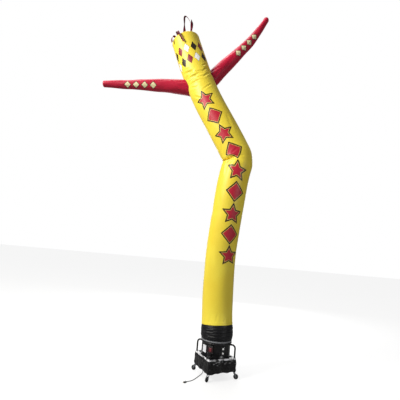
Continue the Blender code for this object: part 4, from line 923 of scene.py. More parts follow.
def make_tube():
    """The yellow body: one closed sheet with its hem, folds and printed column."""
    rows = [HEM_START]
    for end, spacing in zip(TUBE_ROWS["end"], TUBE_ROWS["spacing"]):
        count = round((end - rows[-1]) / spacing)
        rows += list(np.linspace(rows[-1], end, count + 1)[1:])
    rows = np.array(rows)
    wide = np.linspace(90.0, 450.0, TUBE_COLUMNS + 1)
    along, bearing = np.meshgrid(rows, wide[:-1], indexing="ij")
    places = tube_places(along, bearing, tube_surface(along, bearing))
    keep = np.ones(along.shape, bool)
    for arm in ARM_ROWS:
        steps, centres, ways = arm_axis(arm)
        gap = places[..., None, :] - centres[None, None, 6:56:2]
        out = np.sum(gap * ways[6:56:2], axis=-1)
        aside = np.linalg.norm(gap - out[..., None] * ways[6:56:2], axis=-1)
        radius = np.interp(steps[6:56:2], ARM_ROWS[arm]["out"], ARM_ROWS[arm]["radius"])
        keep &= ~((np.abs(out) < 0.02) & (aside < radius - 0.012)).any(axis=-1)
    map_along, map_bearing = np.meshgrid(rows, wide, indexing="ij")
    round_it = np.radians(map_bearing) * TUBE_RADIUS
    line = np.interp(map_along, PRINT_LINE["along"], PRINT_LINE["bearing"])
    aside = np.radians(map_bearing - line) * TUBE_RADIUS / PRINT_PITCH
    maps = {"metres": np.stack([round_it, map_along], -1),
            "print": np.stack([aside, (PRINT_FIRST - map_along) / PRINT_PITCH], -1)}
    tube = show("body_cloth", grid_mesh("body_cloth", places, closed=True, maps=maps, keep=keep), YELLOW,
                replaces="body_tube")


CROWN_COLUMNS = 144


def head_places(side, back, up):
    """World places measured from the middle of the head's top seam."""
    centre, right, behind, above = frames_at(HEAD_TOP)
    return centre + side[..., None] * right + back[..., None] * behind + up[..., None] * above


def crown_height(reach):
    """Height of the crown over its seam at a distance from its middle."""
    head_radius = TUBE_RADIUS + GIRTHS["extra"][-1]
    return CROWN_RISE * np.sqrt(np.clip(1.0 - (reach / head_radius) ** CROWN_SQUARENESS, 0.0, 1.0))


def make_crown():
    """The round panel that closes the head, lapped over the tube's top edge and domed."""
    head_radius = TUBE_RADIUS + GIRTHS["extra"][-1]
    shares = np.concatenate([np.sin(np.linspace(math.pi / 2, 0.12, 30)), [0.06]])
    share, bearing = np.meshgrid(shares, np.linspace(0.0, 360.0, CROWN_COLUMNS, endpoint=False),
                                 indexing="ij")
    reach = head_radius * share
    gathers = 0.5 * np.sin(np.radians(bearing) * 48) + 0.5 * np.sin(np.radians(bearing) * 31 + 0.7)
    edge = np.exp(-((1.0 - share) / 0.10) ** 2)
    up = SEAM_GAP + crown_height(reach) + CLOTH + 0.0012 * gathers * edge * (1.0
            - np.exp(-((1.0 - share) / 0.01) ** 2))
    turn = np.radians(bearing)
    rings = head_places((reach + CLOTH) * np.cos(turn), (reach + CLOTH) * np.sin(turn), up)
    lap_turn = turn[:1].repeat(2, axis=0)
    lap_reach = tube_surface(np.full_like(lap_turn, HEAD_TOP),
                             np.degrees(lap_turn)) + np.array([[0.0004], [0.0014]])
    lap = head_places(lap_reach * np.cos(lap_turn), lap_reach * np.sin(lap_turn),
                      np.array([[-0.006], [-0.002]]) + 0 * lap_turn)
    points = np.concatenate([lap, rings])
    around = np.radians(np.linspace(0.0, 360.0, CROWN_COLUMNS + 1))[None, :]
    sizes = np.concatenate([[head_radius, head_radius], head_radius * shares])[:, None]
    maps = {"metres": np.stack([sizes * np.cos(around), 6.0 + sizes * np.sin(around)], -1),
            "print": np.stack([sizes * np.cos(around), -9.0 + sizes * np.sin(around)], -1)}
    tip = head_places(np.array(0.0), np.array(0.0), np.array(SEAM_GAP + CROWN_RISE + CLOTH))
    mesh = grid_mesh("crown_cloth", points, closed=True, maps=maps, tip=tip)
    crown = show("crown_cloth", mesh, YELLOW, replaces="crown")


# An arm's fine creases: out and turn of both ends, depth and width
ARM_CREASES = (
    (0.26, 60, 0.46, 84, 0.0050, 0.014), (0.25, 110, 0.42, 100, 0.0045, 0.013),
    (0.27, 20, 0.40, 34, 0.0050, 0.014),
    (0.26, 150, 0.44, 162, 0.0050, 0.014), (0.26, 220, 0.44, 204, 0.0050, 0.014),
    (0.26, 290, 0.46, 310, 0.0050, 0.014),
    (0.50, 120, 0.78, 96, 0.0025, 0.016), (0.62, 40, 0.92, 62, 0.0025, 0.016),
    (0.95, 130, 1.22, 112, 0.0020, 0.014),
    (1.10, 30, 1.38, 54, 0.0022, 0.014), (0.55, 230, 0.85, 250, 0.0025, 0.016),
    (0.90, 300, 1.20, 280, 0.0022, 0.015),
    (1.30, 160, 1.52, 140, 0.0018, 0.012), (1.25, 240, 1.50, 226, 0.0018, 0.012),
)
ARM_WAVES = ((2, 0.61, 0.0016, 0.8), (3, -0.43, 0.0012, 2.4), (4, 0.29, 0.0007, 0.2))
ARM_COLUMNS = 96
ARM_PRINT = {"arm_left": (0.80, 0.140, 62.0), "arm_right": (0.86, 0.140, 105.0)}


def arm_surface(arm, out, turn_degrees):
    """Outer reach of an arm's cloth, tapering and closing round at its tip."""
    rows = ARM_ROWS[arm]
    end = rows["out"][-1]
    radius = np.interp(out, rows["out"], rows["radius"])
    closing = np.clip((out - end + ARM_TIP_ROUND) / ARM_TIP_ROUND, 0.0, 1.0)
    creases = crease_depth(ARM_CREASES, out, turn_degrees, 0.10)
    return (radius + CLOTH - creases + ripple(out, turn_degrees, ARM_WAVES)) * np.sqrt(1.0 - closing ** 2
            * 0.97)


def make_arm(arm):
    """A red arm: a long cone of cloth sewn over its hole in the tube."""
    end = ARM_ROWS[arm]["out"][-1]
    turns = np.linspace(-90.0, 270.0, ARM_COLUMNS + 1)
    trial, turn = np.meshgrid(np.arange(0.05, 0.62, 0.002), turns, indexing="ij")
    places = arm_places(arm, trial, np.radians(turn), arm_surface(arm, trial, turn))
    away, along, bearing = reach_from_tube(places)
    outside = away > tube_surface(along, bearing) + 0.0004
    root = trial[outside.argmax(axis=0), 0]
    shares = np.linspace(0.0, 1.0, 170) ** 1.25
    out = root[None, :] + (end - 0.0006 - root[None, :]) * shares[:, None]
    turn = np.broadcast_to(turns[None, :], out.shape)
    flare = 0.0014 * np.exp(-(out - root[None, :]) / 0.006)
    gathers = 0.0011 * (np.sin(np.radians(turn) * 38) + 0.6
                        * np.sin(np.radians(turn) * 25 + 1.0)) * np.exp(-(out - root[None, :]) / 0.035)
    reach = arm_surface(arm, out, turn) + flare + gathers
    points = arm_places(arm, out, np.radians(turn), reach)
    tip = arm_places(arm, np.array(end), np.array(0.0), np.array(0.0))
    first, pitch, middle = ARM_PRINT[arm]
    aside = np.radians(turn - middle) * np.interp(out, (0.8, 1.3), (0.092, 0.070)) / pitch
    maps = {"metres": np.stack([np.radians(turn) * 0.10, out], -1),
            "print": np.stack([aside, (out - first) / pitch], -1)}
    mesh = grid_mesh(f"{arm}_cloth", points, maps=maps, tip=tip)
    if ARM_ROWS[arm]["side"] > 0:
        mesh.flip_normals()
    cloth = show(f"{arm}_cloth", mesh, RED, replaces=arm)
    line = [Vector(place) for place in points[0, :-1]]
    seam = show(f"{arm}_seam", tube_curve(f"{arm}_seam", line, 0.0022, smoothness=2, closed=True), RIBBON)


def make_ribbons():
    """Strips of ribbon sewn to the crown, each curling its own way, a little cupped across."""
    for name, rows in RIBBON_ROWS.items():
        side, back, facing = RIBBON_SEATS[name]
        base = SEAM_GAP + float(crown_height(math.hypot(side, back))) + CLOTH + RIBBON_LIFT
        path = smooth_points([Vector((side + row[0], back + row[1], base + row[2])) for row in rows], 8)
        looks = smooth_points([Vector((facing + row[3], row[4], 0.0)) for row in rows], 8)
        points = []
        for index, place in enumerate(path):
            way = (path[min(index + 1, len(path) - 1)] - path[max(index - 1, 0)]).normalized()
            turn = math.radians(looks[index].x)
            across = Vector((math.cos(turn), math.sin(turn), 0.0))
            if index > 0:
                across = (across - way * across.dot(way)).normalized()
            half = RIBBON_WIDTH / 2 * looks[index].y
            cup = way.cross(across)
            free = min(1.0, index / 10.0)
            points.append([place + across * half * part + cup * 0.0040 * part * part * free
                           for part in np.linspace(-1.0, 1.0, 7)])
        grid = np.array([[tuple(spot) for spot in row] for row in points])
        world = head_places(grid[..., 0], grid[..., 1], grid[..., 2])
        lengths = np.concatenate([[0.0], np.cumsum([(b - a).length for a, b in zip(path, path[1:])])])
        flat_across = np.linspace(0.0, RIBBON_WIDTH, 7)
        maps = {"metres": np.stack(np.broadcast_arrays(flat_across[None, :], lengths[:, None]), -1)}
        ribbon = show(f"{name}_cloth", grid_mesh(f"{name}_cloth", world, maps=maps), RIBBON, replaces=name)


# Fine creases of the sleeve: it is pushed down on itself, so they lie round it
SLEEVE_CREASES = (
    (0.060, 196, 0.066, 244, 0.0045, 0.007), (0.084, 206, 0.078, 262, 0.0050, 0.007),
    (0.100, 232, 0.108, 282, 0.0050, 0.008),
    (0.128, 198, 0.120, 240, 0.0050, 0.008), (0.136, 250, 0.132, 306, 0.0045, 0.007),
    (0.156, 216, 0.164, 262, 0.0050, 0.008),
    (0.176, 240, 0.170, 296, 0.0045, 0.007), (0.190, 200, 0.196, 236, 0.0040, 0.007),
    (0.086, 280, 0.092, 330, 0.0050, 0.007),
    (0.112, 300, 0.104, 346, 0.0045, 0.007), (0.158, 300, 0.164, 350, 0.0045, 0.008),
    (0.196, 280, 0.190, 320, 0.0040, 0.007),
    (0.070, 330, 0.076, 372, 0.0045, 0.007), (0.120, 340, 0.130, 388, 0.0050, 0.008),
    (0.180, 335, 0.172, 380, 0.0045, 0.007),
    (0.086, 20, 0.080, 64, 0.0050, 0.007), (0.146, 16, 0.152, 70, 0.0050, 0.008),
    (0.104, 60, 0.114, 110, 0.0045, 0.007),
    (0.170, 56, 0.162, 104, 0.0045, 0.007), (0.076, 100, 0.084, 148, 0.0050, 0.007),
    (0.130, 96, 0.124, 150, 0.0050, 0.008),
    (0.186, 100, 0.190, 150, 0.0040, 0.007), (0.098, 144, 0.104, 190, 0.0045, 0.007),
    (0.154, 150, 0.148, 198, 0.0050, 0.008),
    (0.215, 230, 0.211, 276, 0.0025, 0.006), (0.060, 262, 0.062, 300, 0.0035, 0.006),
)
SLEEVE_COLUMNS = 190


def sleeve_surface(along, bearing):
    """Outer reach of the black sleeve: pulled in by its strap, full above it, inside the hem at its top."""
    joined = tube_radius(np.full_like(along, HEM_START), bearing) - CLOTH - 0.0006
    body = np.interp(along, SLEEVE_ROWS["along"], SLEEVE_ROWS["radius"])
    share = np.clip((along - SLEEVE_ROWS["along"][-1]) / (HEM_START - 0.004 - SLEEVE_ROWS["along"][-1]), 0.0,
                    1.0)
    free = np.clip((along - 0.044) / 0.02, 0.0, 1.0) * np.clip((0.232 - along) / 0.02, 0.0, 1.0)
    reach = body + (joined - body) * share - fold_depth(SLEEVE_FOLDS, along, bearing, TUBE_RADIUS)
    fine = -crease_depth(SLEEVE_CREASES, along, bearing, TUBE_RADIUS)
    fine = fine + 0.0016 * np.sin(np.radians(bearing) * 23 + 3.0
                                  * np.sin(along * 60.0)) * np.clip((0.10 - along) / 0.05, 0.0, 1.0)
    fine = fine + 0.0010 * np.sin(2 * math.pi * along / 0.021 + 2.2 * np.sin(np.radians(bearing) * 4) + 1.4
                                  * np.sin(np.radians(bearing) * 7))
    return reach + CLOTH + fine * free


def make_sleeve():
    """The black sleeve between the tube and the drum, and the webbing strap that holds it."""
    rows = np.concatenate([np.linspace(0.0, 0.012, 5), np.linspace(0.016, 0.262, 83)])
    along, bearing = np.meshgrid(rows, np.linspace(0.0, 360.0, SLEEVE_COLUMNS, endpoint=False), indexing="ij")
    frill = 0.0022 * np.sin(np.radians(bearing) * 34 + 0.8
                            * np.sin(np.radians(bearing) * 5)) * np.exp(-along / 0.006)
    places = tube_places(along, bearing, sleeve_surface(along, bearing) + np.maximum(frill, -0.0006))
    wide = np.radians(np.linspace(0.0, 360.0, SLEEVE_COLUMNS + 1)) * 0.24
    maps = {"metres": np.stack(np.broadcast_arrays(wide[None, :], rows[:, None]), -1)}
    sleeve = show("sleeve_cloth", grid_mesh("sleeve_cloth", places, closed=True, maps=maps), OXFORD,
                  replaces="sleeve")
    rows = np.concatenate([[0.0205, 0.0203], np.linspace(0.0203, 0.0397, 9), [0.0397, 0.0395]])
    lifts = np.concatenate([[0.0002, 0.0016], np.full(9, 0.0020), [0.0016, 0.0002]])
    along, bearing = np.meshgrid(rows, np.linspace(0.0, 360.0, SLEEVE_COLUMNS, endpoint=False), indexing="ij")
    pull = 0.0003 * np.sin(np.radians(bearing) * 11)
    reach = SLEEVE_ROWS["radius"][1] + CLOTH + 0.0003 + lifts[:, None] + pull
    wide = np.radians(np.linspace(0.0, 360.0, SLEEVE_COLUMNS + 1)) * 0.231
    maps = {"metres": np.stack(np.broadcast_arrays(wide[None, :], rows[:, None]), -1)}
    strap = show("strap_webbing", grid_mesh("strap_webbing", tube_places(along, bearing, reach), closed=True,
                                            maps=maps), WEBBING, replaces="strap")


# ---- the skirt ----
SKIRT_COLUMNS = 76
SKIRT_SIDE_SHARE = 0.9


def skirt_place(quarter):
    """Place round the frame, in quarters from the front corner, with its way out."""
    half = FRAME_SIDE / 2 + SKIRT_CLEAR
    rounding = FRAME_CORNER + SKIRT_CLEAR
    flat = half - rounding
    corner = math.floor(quarter + 0.05)
    share = quarter - corner
    turn = Matrix.Rotation(math.radians(90.0 * corner + CORNERS["front"] - 225.0), 3, "Z")
    if share < 0.05:
        angle = math.radians(180.0 + 90.0 * (share + 0.05) / 0.1)
        out = Vector((math.cos(angle), math.sin(angle), 0.0))
        place = Vector((-flat, -flat, 0.0)) + out * rounding
    else:
        out = Vector((0.0, -1.0, 0.0))
        place = Vector((-flat + 2 * flat * (share - 0.05) / SKIRT_SIDE_SHARE, -half, 0.0))
    return turn @ place, turn @ out


def skirt_fold(quarter, column):
    """How far the solid's folds swell or sag there: column 1 is the swell and 3 the sag."""
    total = 0.0
    for fold in SKIRT_FOLDS:
        away = (quarter - fold[0] + 2.0) % 4.0 - 2.0
        total += fold[column] * math.exp(-(away / fold[2]) ** 2)
    return total


def skirt_crumple(quarter, height):
    """Sharp, shallow crumples of stiff coated cloth."""
    ring = 2 * math.pi * quarter / 4.0
    spot = Vector((math.cos(ring) * 0.29, math.sin(ring) * 0.29, height * 1.3))
    broad = noise.ridged_multi_fractal(spot * 6.0, 0.9, 2.2, 3, 1.0, 2.0)
    fine = noise.noise(spot * 30.0)
    return 0.0105 * min(broad, 1.9) + 0.0032 * fine


def make_skirt():
    """The black skirt that hangs from the frame and hides what is under it."""
    rows = 44
    quarters = []
    for corner in range(4):
        quarters += list(corner + np.linspace(-0.05, 0.05, 14, endpoint=False))
        quarters += list(corner + np.linspace(0.05, 0.95, SKIRT_COLUMNS, endpoint=False))
    points = np.zeros((rows, len(quarters), 3))
    for column, quarter in enumerate(quarters):
        place, out = skirt_place(quarter)
        hem = SKIRT_HEM - skirt_fold(quarter, 3)
        swell = skirt_fold(quarter, 1)
        for row in range(rows):
            drop = 1.0 - row / (rows - 1)
            height = SKIRT_TOP - (SKIRT_TOP - hem) * drop
            bulge = swell * math.sin(min(1.0, drop * 1.15) * math.pi / 2)
            crumple = max(-0.4 * bulge, skirt_crumple(quarter, height) - 0.0085) * min(1.0, drop * 6.0)
            spot = place + out * (CLOTH + bulge + crumple)
            points[row, column] = (spot.x, spot.y, height)
    lengths = np.concatenate([[0.0],
                              np.cumsum(np.linalg.norm(np.diff(np.vstack([points[-1], points[-1, :1]]),
            axis=0), axis=1))])
    heights = np.linspace(0.0, SKIRT_TOP - SKIRT_HEM, rows)
    maps = {"metres": np.stack(np.broadcast_arrays(lengths[None, :], heights[:, None]), -1)}
    skirt = show("skirt_cloth", grid_mesh("skirt_cloth", points, closed=True, maps=maps), COATED,
                 replaces="skirt")


# ---- the blower ----
# Profiles that are turned about their own Z, as rows of (reach, height)
FOOT_RIM = ((0.0062, 0.0), (0.0070, 0.0010), (0.0070, 0.0048), (0.0058, 0.0060), (0.0008, 0.0060),
            (0.0, 0.0072))
RIVET = ((0.0001, 0.0024), (0.0022, 0.0021), (0.0038, 0.0012), (0.0044, -0.0006))
HANDLE_FLANGE = ((0.0, 0.0004), (0.007, 0.0004), (0.0078, 0.0012), (0.0070, 0.0030), (0.0015, 0.0036),
                 (0.0, 0.0060))
HANDLE_WELD = ((-0.001, 0.0), (0.0030, 0.0), (0.0012, 0.0022), (-0.001, 0.0034))
FORK_RACE = ((0.0001, 0.0981), (0.0130, 0.0981), (0.0142, 0.0972), (0.0142, 0.0958), (0.0125, 0.0952),
             (0.0001, 0.0952))
# Half profiles from one side face to the middle, as rows of (reach, depth in from the face)
TYRE_HALF = ((0.022, 0.001), (WHEEL_RADIUS - 0.006, 0.0), (WHEEL_RADIUS - 0.0025, 0.002),
             (WHEEL_RADIUS - 0.0005, 0.006))
HUB_HALF = ((0.0035, 0.0005), (0.0080, 0.0003), (0.0086, 0.0030), (0.0190, 0.0036), (0.0205, 0.0006),
            (0.0221, 0.0006))
AXLE_HALF = ((0.0001, -0.0032), (0.0050, -0.0030), (0.0055, -0.0020), (0.0055, 0.0), (0.0030, 0.0))
SCREW = ((0.0001, 0.30), (0.35, 0.34), (0.70, 0.704), (0.92, 0.48), (1.0, 0.096), (1.0, -0.08))
CAP = ((0.0001, 0.0), (0.0130, 0.0), (0.0130, 0.0050), (0.0124, 0.0068), (0.0106, 0.0080), (0.0060, 0.0083),
       (0.0001, 0.0083))
CAP_RING = ((0.0134, -0.0002), (0.0168, -0.0002), (0.0168, 0.0016), (0.0160, 0.0024), (0.0134, 0.0024))
# The gland's boot: its two ends, and one rib that repeats up it
GLAND_FOOT = ((0.0052, -0.0341), (0.0062, -0.0343))
GLAND_RIB = ((0.0, 0.0), (0.0004, 0.0026), (-0.0010, 0.0032), (-0.0010, 0.0044))
GLAND_RIBS = {"count": 6, "first": (0.0064, -0.0335), "step": (0.00058, 0.0052)}
GLAND_HEAD = ((0.0098, -0.0018), (0.0100, -0.0003), (0.0052, -0.0003))
# Small fittings on the drum
SEAM_RIVETS = {"bearing": 92.0, "heights": (0.335, 0.365, 0.395, 0.425, 0.455)}
LEG_TOP = 0.2865
SEATED = 0.0003
BEZEL_BARS = (((-0.034, 0.025), (0.034, 0.034)), ((-0.034, -0.034), (0.034, -0.025)),
              ((-0.034, -0.026), (-0.018, 0.026)), ((0.018, -0.026), (0.034, 0.026)))
ROCKER_ROWS = {"height": (-0.023, -0.021, -0.010, 0.0, 0.010, 0.021, 0.023),
               "proud": (0.0035, 0.0046, 0.0026, 0.0020, 0.0026, 0.0046, 0.0035)}
ROCKER_HALF = 0.016
ROCKER_EDGE = (0.0010, 0.0012)
ROCKER_DEPTH = 0.007
SCREWS = {"switch": {"side": 0.033, "height": 0.045, "radius": 0.0034},
          "plate": {"side": 0.019, "height": 0.054, "radius": 0.0030}}
CAP_HEIGHT = 0.030
PLUG_BODY = ((0.0006, -0.014, 0.0001), (0.042, 0.014, 0.019))
BLADE = {"start": 0.036, "end": 0.058, "apart": 0.0127, "thick": 0.0015, "wide": 0.0064}


def moved(rows, reach, height=0.0):
    """Profile rows moved out by a reach and up by a height."""
    return [(reach + out, height + up) for out, up in rows]


def both_halves(rows, half, middle=()):
    """A whole profile across a width from its half, with what lies at its middle."""
    return ([(reach, depth - half) for reach, depth in rows] + list(middle)
            + [(reach, half - depth) for reach, depth in reversed(rows)])


def turned_piece(name, profile, sides, place, finish, closed=True, **more):
    """Turn a profile about its own Z, set it in place and show it."""
    mesh = turned_mesh(name, profile, sides, closed)
    mesh.transform(place)
    return show(name, mesh, finish, **more)


def facing_out(place, out, side=0.0, height=0.0):
    """A place on the drum whose own Z points outward."""
    return place @ Matrix.Translation((side, out, height)) @ Matrix.Rotation(-math.pi / 2, 4, "X")


def make_drum():
    """The drum: rolled sheet with a foot rim and a collar, riveted up its back."""
    step = COLLAR_RADIUS - DRUM_RADIUS
    inner = DRUM_RADIUS - DRUM_WALL
    wall = COLLAR_RADIUS - DRUM_WALL
    foot = FRAME_TOP + SEATED
    profile = [(inner, foot), *moved(FOOT_RIM, DRUM_RADIUS, foot),
               (DRUM_RADIUS, COLLAR_FOOT - step - 0.003), (DRUM_RADIUS + 0.0008, COLLAR_FOOT - step),
               (COLLAR_RADIUS - 0.0008, COLLAR_FOOT), (COLLAR_RADIUS, COLLAR_FOOT + 0.003),
               (COLLAR_RADIUS, DRUM_TOP - 0.001), (COLLAR_RADIUS - 0.001, DRUM_TOP), (wall, DRUM_TOP - 0.001),
               (wall, COLLAR_FOOT), (inner, COLLAR_FOOT - step)]
    show("blower_drum_shell", turned_mesh("blower_drum_shell", profile, 160), ENAMEL, replaces="blower_drum")
    places = [(bearing, FRAME_TOP + 0.017) for bearing in range(15, 375, 30)]
    places += [(SEAM_RIVETS["bearing"], height) for height in SEAM_RIVETS["heights"]]
    for index, (bearing, height) in enumerate(places):
        place = facing_out(drum_side(bearing, height), DRUM_RADIUS)
        turned_piece(f"drum_rivet_{index}", RIVET, 16, place, ENAMEL, closed=False)


def make_handles():
    """The bent tube handles, each on a flange at the drum and a weld at the frame."""
    for corner in ("left", "right"):
        bearing = CORNERS[corner]
        path = [polar(DRUM_RADIUS + 0.0006, bearing, HANDLE_HEIGHT)]
        for turn in np.linspace(0.0, math.pi / 2, 17):
            path.append(polar(HANDLE_REACH - HANDLE_BEND * (1 - math.sin(turn)), bearing,
                              HANDLE_HEIGHT - HANDLE_BEND * (1 - math.cos(turn))))
        foot = polar(HANDLE_REACH, bearing, FRAME_TOP + SEATED)
        path.append(foot)
        name = f"handle_{corner}"
        show(f"{name}_bar", tube_curve(f"{name}_bar", path, HANDLE_RADIUS, 7), ENAMEL, replaces=name)
        place = facing_out(drum_side(bearing, HANDLE_HEIGHT), DRUM_RADIUS)
        turned_piece(f"{name}_flange", moved(HANDLE_FLANGE, HANDLE_RADIUS), 48, place, ENAMEL)
        turned_piece(f"{name}_weld", moved(HANDLE_WELD, HANDLE_RADIUS), 40, Matrix.Translation(foot), ENAMEL)


def make_legs_and_casters():
    """Legs, pressed forks with their race, and wheels with a hub and axle."""
    leg = [(0.0001, LEG_FOOT), (LEG_RADIUS - 0.001, LEG_FOOT), (LEG_RADIUS, LEG_FOOT + 0.001),
           (LEG_RADIUS, LEG_TOP), (0.0001, LEG_TOP)]
    tyre = both_halves(TYRE_HALF, WHEEL_WIDTH / 2, [(WHEEL_RADIUS, 0.0)])
    hub = both_halves(HUB_HALF, WHEEL_WIDTH / 2)
    axle = both_halves(AXLE_HALF, FORK_WIDTH / 2)
    for corner, bearing in CORNERS.items():
        foot = Matrix.Translation(polar(LEG_REACH, bearing, 0.0))
        heading = foot @ Matrix.Rotation(math.radians(HEADINGS[corner]), 4, "Z")
        centre = Matrix.Translation((CASTER_TRAIL, 0.0, WHEEL_RADIUS)) @ Matrix.Rotation(math.pi / 2, 4, "X")
        wheel, caster = f"wheel_{corner}", f"caster_{corner}"
        turned_piece(f"leg_{corner}_tube", leg, 40, foot, ENAMEL, replaces=f"leg_{corner}")
        turned_piece(f"fork_race_{corner}", FORK_RACE, 40, heading, ZINC, body=caster)
        dress_node(f"caster_fork_{corner}", ZINC, 0.0008, segments=2)
        turned_piece(f"wheel_tyre_{corner}", tyre, 64, heading @ centre, RUBBER, body=wheel,
                     replaces=f"caster_wheel_{corner}")
        turned_piece(f"wheel_hub_{corner}", hub, 64, heading @ centre, GREY_HUB, body=wheel)
        turned_piece(f"axle_bolt_{corner}", axle, 24, heading @ centre, ZINC, body=caster)


def dress_node(name, finish, bevel=0.0, **settings):
    """Give a solid that stays its finish, and round its edges a little."""
    node = NODES[name]
    node.data.materials.clear()
    node.data.materials.append(finish)
    if bevel:
        soften = node.modifiers.new("rolled edges", "BEVEL")
        soften.width = bevel
        for setting, value in settings.items():
            setattr(soften, setting, value)


def make_screws(kind, place, face):
    """Four domed screw heads at the corners of a plate."""
    across, up, radius = (SCREWS[kind][part] for part in ("side", "height", "radius"))
    profile = [(part * radius, height * radius) for part, height in SCREW]
    for index, (side, height) in enumerate(((-1, 1), (1, 1), (-1, -1), (1, -1))):
        spot = facing_out(place, face, side * across, height * up)
        turned_piece(f"{kind}_screw_{index}", profile, 24, spot, ZINC, closed=False)


def make_rocker(place):
    """The rocker's cap: a saddle between two raised ends, with square sides."""
    rocker = bpy.data.meshes.new("rocker_cap")
    work = bmesh.new()
    edge, drop = ROCKER_EDGE
    upper = []
    for height, proud in zip(ROCKER_ROWS["height"], ROCKER_ROWS["proud"]):
        row = ((-ROCKER_HALF, proud - drop), (edge - ROCKER_HALF, proud), (ROCKER_HALF - edge, proud),
               (ROCKER_HALF, proud - drop))
        upper.append([work.verts.new((side, out, height)) for side, out in row])
    for here, there in zip(upper, upper[1:]):
        for left in range(3):
            work.faces.new((here[left], here[left + 1], there[left + 1], there[left]))
    rim = [row[0] for row in upper] + upper[-1][1:] + [row[-1] for row in reversed(upper[:-1])]
    rim += list(reversed(upper[0][1:-1]))
    low = [work.verts.new((corner.co.x, -ROCKER_DEPTH, corner.co.z)) for corner in rim]
    for index in range(len(rim)):
        after = (index + 1) % len(rim)
        work.faces.new((rim[index], rim[after], low[after], low[index]))
    work.faces.new(low)
    bmesh.ops.recalc_face_normals(work, faces=work.faces)
    work.transform(place)
    work.to_mesh(rocker)
    work.free()
    rocker.shade_smooth()
    rocker.set_sharp_from_angle(angle=math.radians(35.0))
    show("rocker_cap", rocker, CLEAR_RED, body="rocker", replaces="switch_rocker")


def make_fittings():
    """Switch, control plate and label on the drum."""
    # The frame takes the enamel with a painted highlight on its upright faces
    dress_node("base_frame", ENAMEL_PAINTED_HIGHLIGHT, 0.0012, segments=3, limit_method="ANGLE", angle_limit=math.radians(50.0))
    for name, finish in (("switch_box", BLACK_ABS), ("control_plate", BLACK_ABS), ("label_plate", FILM)):
        dress_node(name, finish)
    place = drum_side(SWITCH_BEARING, SWITCH_HEIGHT)
    face = DRUM_RADIUS + SWITCH_BOX_DEPTH
    for index, ((left, low), (right, high)) in enumerate(BEZEL_BARS):
        mesh = block_mesh(f"switch_bezel_{index}", (left, face - 0.0005, low), (right, face + 0.0030, high),
                          0.0012)
        mesh.transform(place)
        show(f"switch_bezel_{index}", mesh, DARK_RED_ABS)
    make_rocker(place @ Matrix.Translation((0.0, face, 0.0)))
    make_screws("switch", place, face)
    place = drum_side(CONTROL_BEARING, CONTROL_HEIGHT)
    face = DRUM_RADIUS + CONTROL_PLATE_DEPTH
    for name, height in (("cap_upper", CAP_HEIGHT), ("cap_lower", -CAP_HEIGHT)):
        cap_place = facing_out(place, face + SEATED, height=height)
        turned_piece(f"{name}_dome", CAP, 48, cap_place, WHITE_PLASTIC, replaces=name)
        turned_piece(f"{name}_ring", CAP_RING, 48, facing_out(place, face, height=height), BLACK_ABS)
    make_screws("plate", place, face)


def make_cord():
    """The mains cord on its one route, its ribbed gland and its plug."""
    first, step = GLAND_RIBS["first"], GLAND_RIBS["step"]
    gland = list(GLAND_FOOT)
    for index in range(GLAND_RIBS["count"]):
        gland += moved(GLAND_RIB, first[0] + index * step[0], first[1] + index * step[1])
    gland += GLAND_HEAD
    place = drum_side(SWITCH_BEARING, SWITCH_HEIGHT - SWITCH_BOX[1] / 2)
    place = place @ Matrix.Translation((0.0, DRUM_RADIUS + SWITCH_BOX_DEPTH / 2, 0.0))
    turned_piece("cord_gland_boot", gland, 32, place, BLACK_ABS, replaces="cord_gland")
    heading = Matrix.Translation((*PLUG_START, 0.0)) @ Matrix.Rotation(math.radians(PLUG_HEADING), 4, "Z")
    body = block_mesh("plug_body", *PLUG_BODY, 0.0042, 4)
    body.transform(heading)
    pieces = [show("plug_body", body, BLACK_ABS, replaces="plug")]
    for index, side in enumerate((-1, 1)):
        middle = side * BLADE["apart"] / 2
        low = (BLADE["start"], middle - BLADE["thick"] / 2, PLUG_CORD_HEIGHT - BLADE["wide"] / 2)
        high = (BLADE["end"], middle + BLADE["thick"] / 2, PLUG_CORD_HEIGHT + BLADE["wide"] / 2)
        blade = block_mesh(f"plug_blade_{index}", low, high, 0.0005, 2)
        blade.transform(heading)
        pieces.append(show(f"plug_blade_{index}", blade, BRASS))
    route = cord_route()
    cord = show("mains_cord", tube_curve("mains_cord", route, CORD_RADIUS, 4), VINYL,
                replaces=("cord_run_in", "cord_run_out", "cord_coil"))


# ---- floor and light ----
# Each soft square lamp: where it is, where it faces, its side in metres, its power and its tint
LAMPS = {
    "key": ((-8.0, -5.0, 7.0), (-0.3, 0.0, 2.4), 3.0, 1230.0, "#FFFDF6"),
    "fill": ((6.0, -6.0, 2.6), (0.0, 0.0, 1.9), 2.2, 120.0, "#FFFFFF"),
    "back panel": ((0.6, 6.5, 3.4), (0.0, 0.0, 0.9), 5.0, 260.0, "#FFFFFF"),
}
OVERHEAD = {"strength": 1.9, "angle": 50.0, "turn": (-12.0, -14.0, 0.0)}
FLOOR_HALF = 60
SURROUND_LIGHT = 0.11
FLOOR_GLOW = 0.76


def place_lamp(name, lamp):
    """Put a lamp in the scene."""
    holder = bpy.data.objects.new(name, lamp)
    bpy.context.scene.collection.objects.link(holder)
    return holder


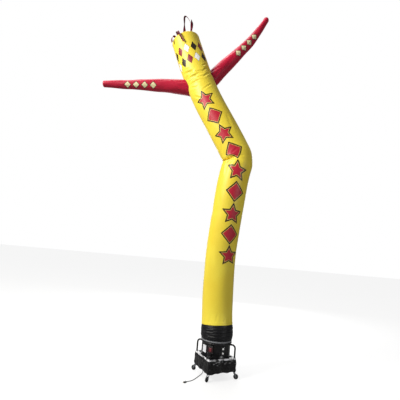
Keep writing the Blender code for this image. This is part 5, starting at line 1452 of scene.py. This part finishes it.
def make_floor():
    """The pale floor, which is stage: its glow is for the camera only, and lights nothing."""
    mesh = bpy.data.meshes.new("floor")
    corners = [(-FLOOR_HALF, -FLOOR_HALF, 0), (FLOOR_HALF, -FLOOR_HALF, 0), (FLOOR_HALF, FLOOR_HALF, 0),
               (-FLOOR_HALF, FLOOR_HALF, 0)]
    mesh.from_pydata(corners, [], [(0, 1, 2, 3)])
    floor = bpy.data.objects.new("floor", mesh)
    bpy.context.scene.collection.objects.link(floor)
    paint, node = start_finish("matt_white_floor_paint", roughness=0.9, emission_color=colour("#FFFFFF"))
    node("Mix RGBA", node("TexNoise", 0.6, 2.0, 0.55), colour("#7C7C7C"), colour("#787878"),
         into="Base Color")
    node("Math MULTIPLY", node("LightPath"), FLOOR_GLOW, into="Emission Strength")
    mesh.materials.append(paint)


def make_studio():
    """A pale floor, a bright plain surround and soft lamps, the main one high at the left."""
    make_floor()
    world = bpy.data.worlds.new("studio")
    world.use_nodes = True
    surround = world.node_tree.nodes["Background"]
    surround.inputs["Color"].default_value = colour("#FFFFFF")
    node = partial(add_node, world.node_tree, surround)
    node("MapRange", node("LightPath"), 0.0, 1.0, SURROUND_LIGHT, 1.0, into="Strength")
    bpy.context.scene.world = world
    for name, (place, aim, size, power, tint) in LAMPS.items():
        lamp = bpy.data.lights.new(name, "AREA")
        lamp.shape = "SQUARE"
        lamp.size = size
        lamp.energy = power
        lamp.color = colour(tint)[:3]
        holder = place_lamp(name, lamp)
        holder.location = place
        holder.visible_camera = False
        holder.rotation_euler = (Vector(aim) - Vector(place)).to_track_quat("-Z", "Y").to_euler()
    overhead = bpy.data.lights.new("overhead", "SUN")
    overhead.energy = OVERHEAD["strength"]
    overhead.angle = math.radians(OVERHEAD["angle"])
    place_lamp("overhead", overhead).rotation_euler = [math.radians(turn) for turn in OVERHEAD["turn"]]
    bpy.context.scene.view_settings.view_transform = "Standard"
    bpy.context.scene.view_settings.look = "None"


set_camera()
make_cord()
make_tube()
make_crown()
for each_arm in ARM_ROWS:
    make_arm(each_arm)
make_ribbons()
make_sleeve()
make_skirt()
make_drum()
make_handles()
make_legs_and_casters()
make_fittings()
make_studio()
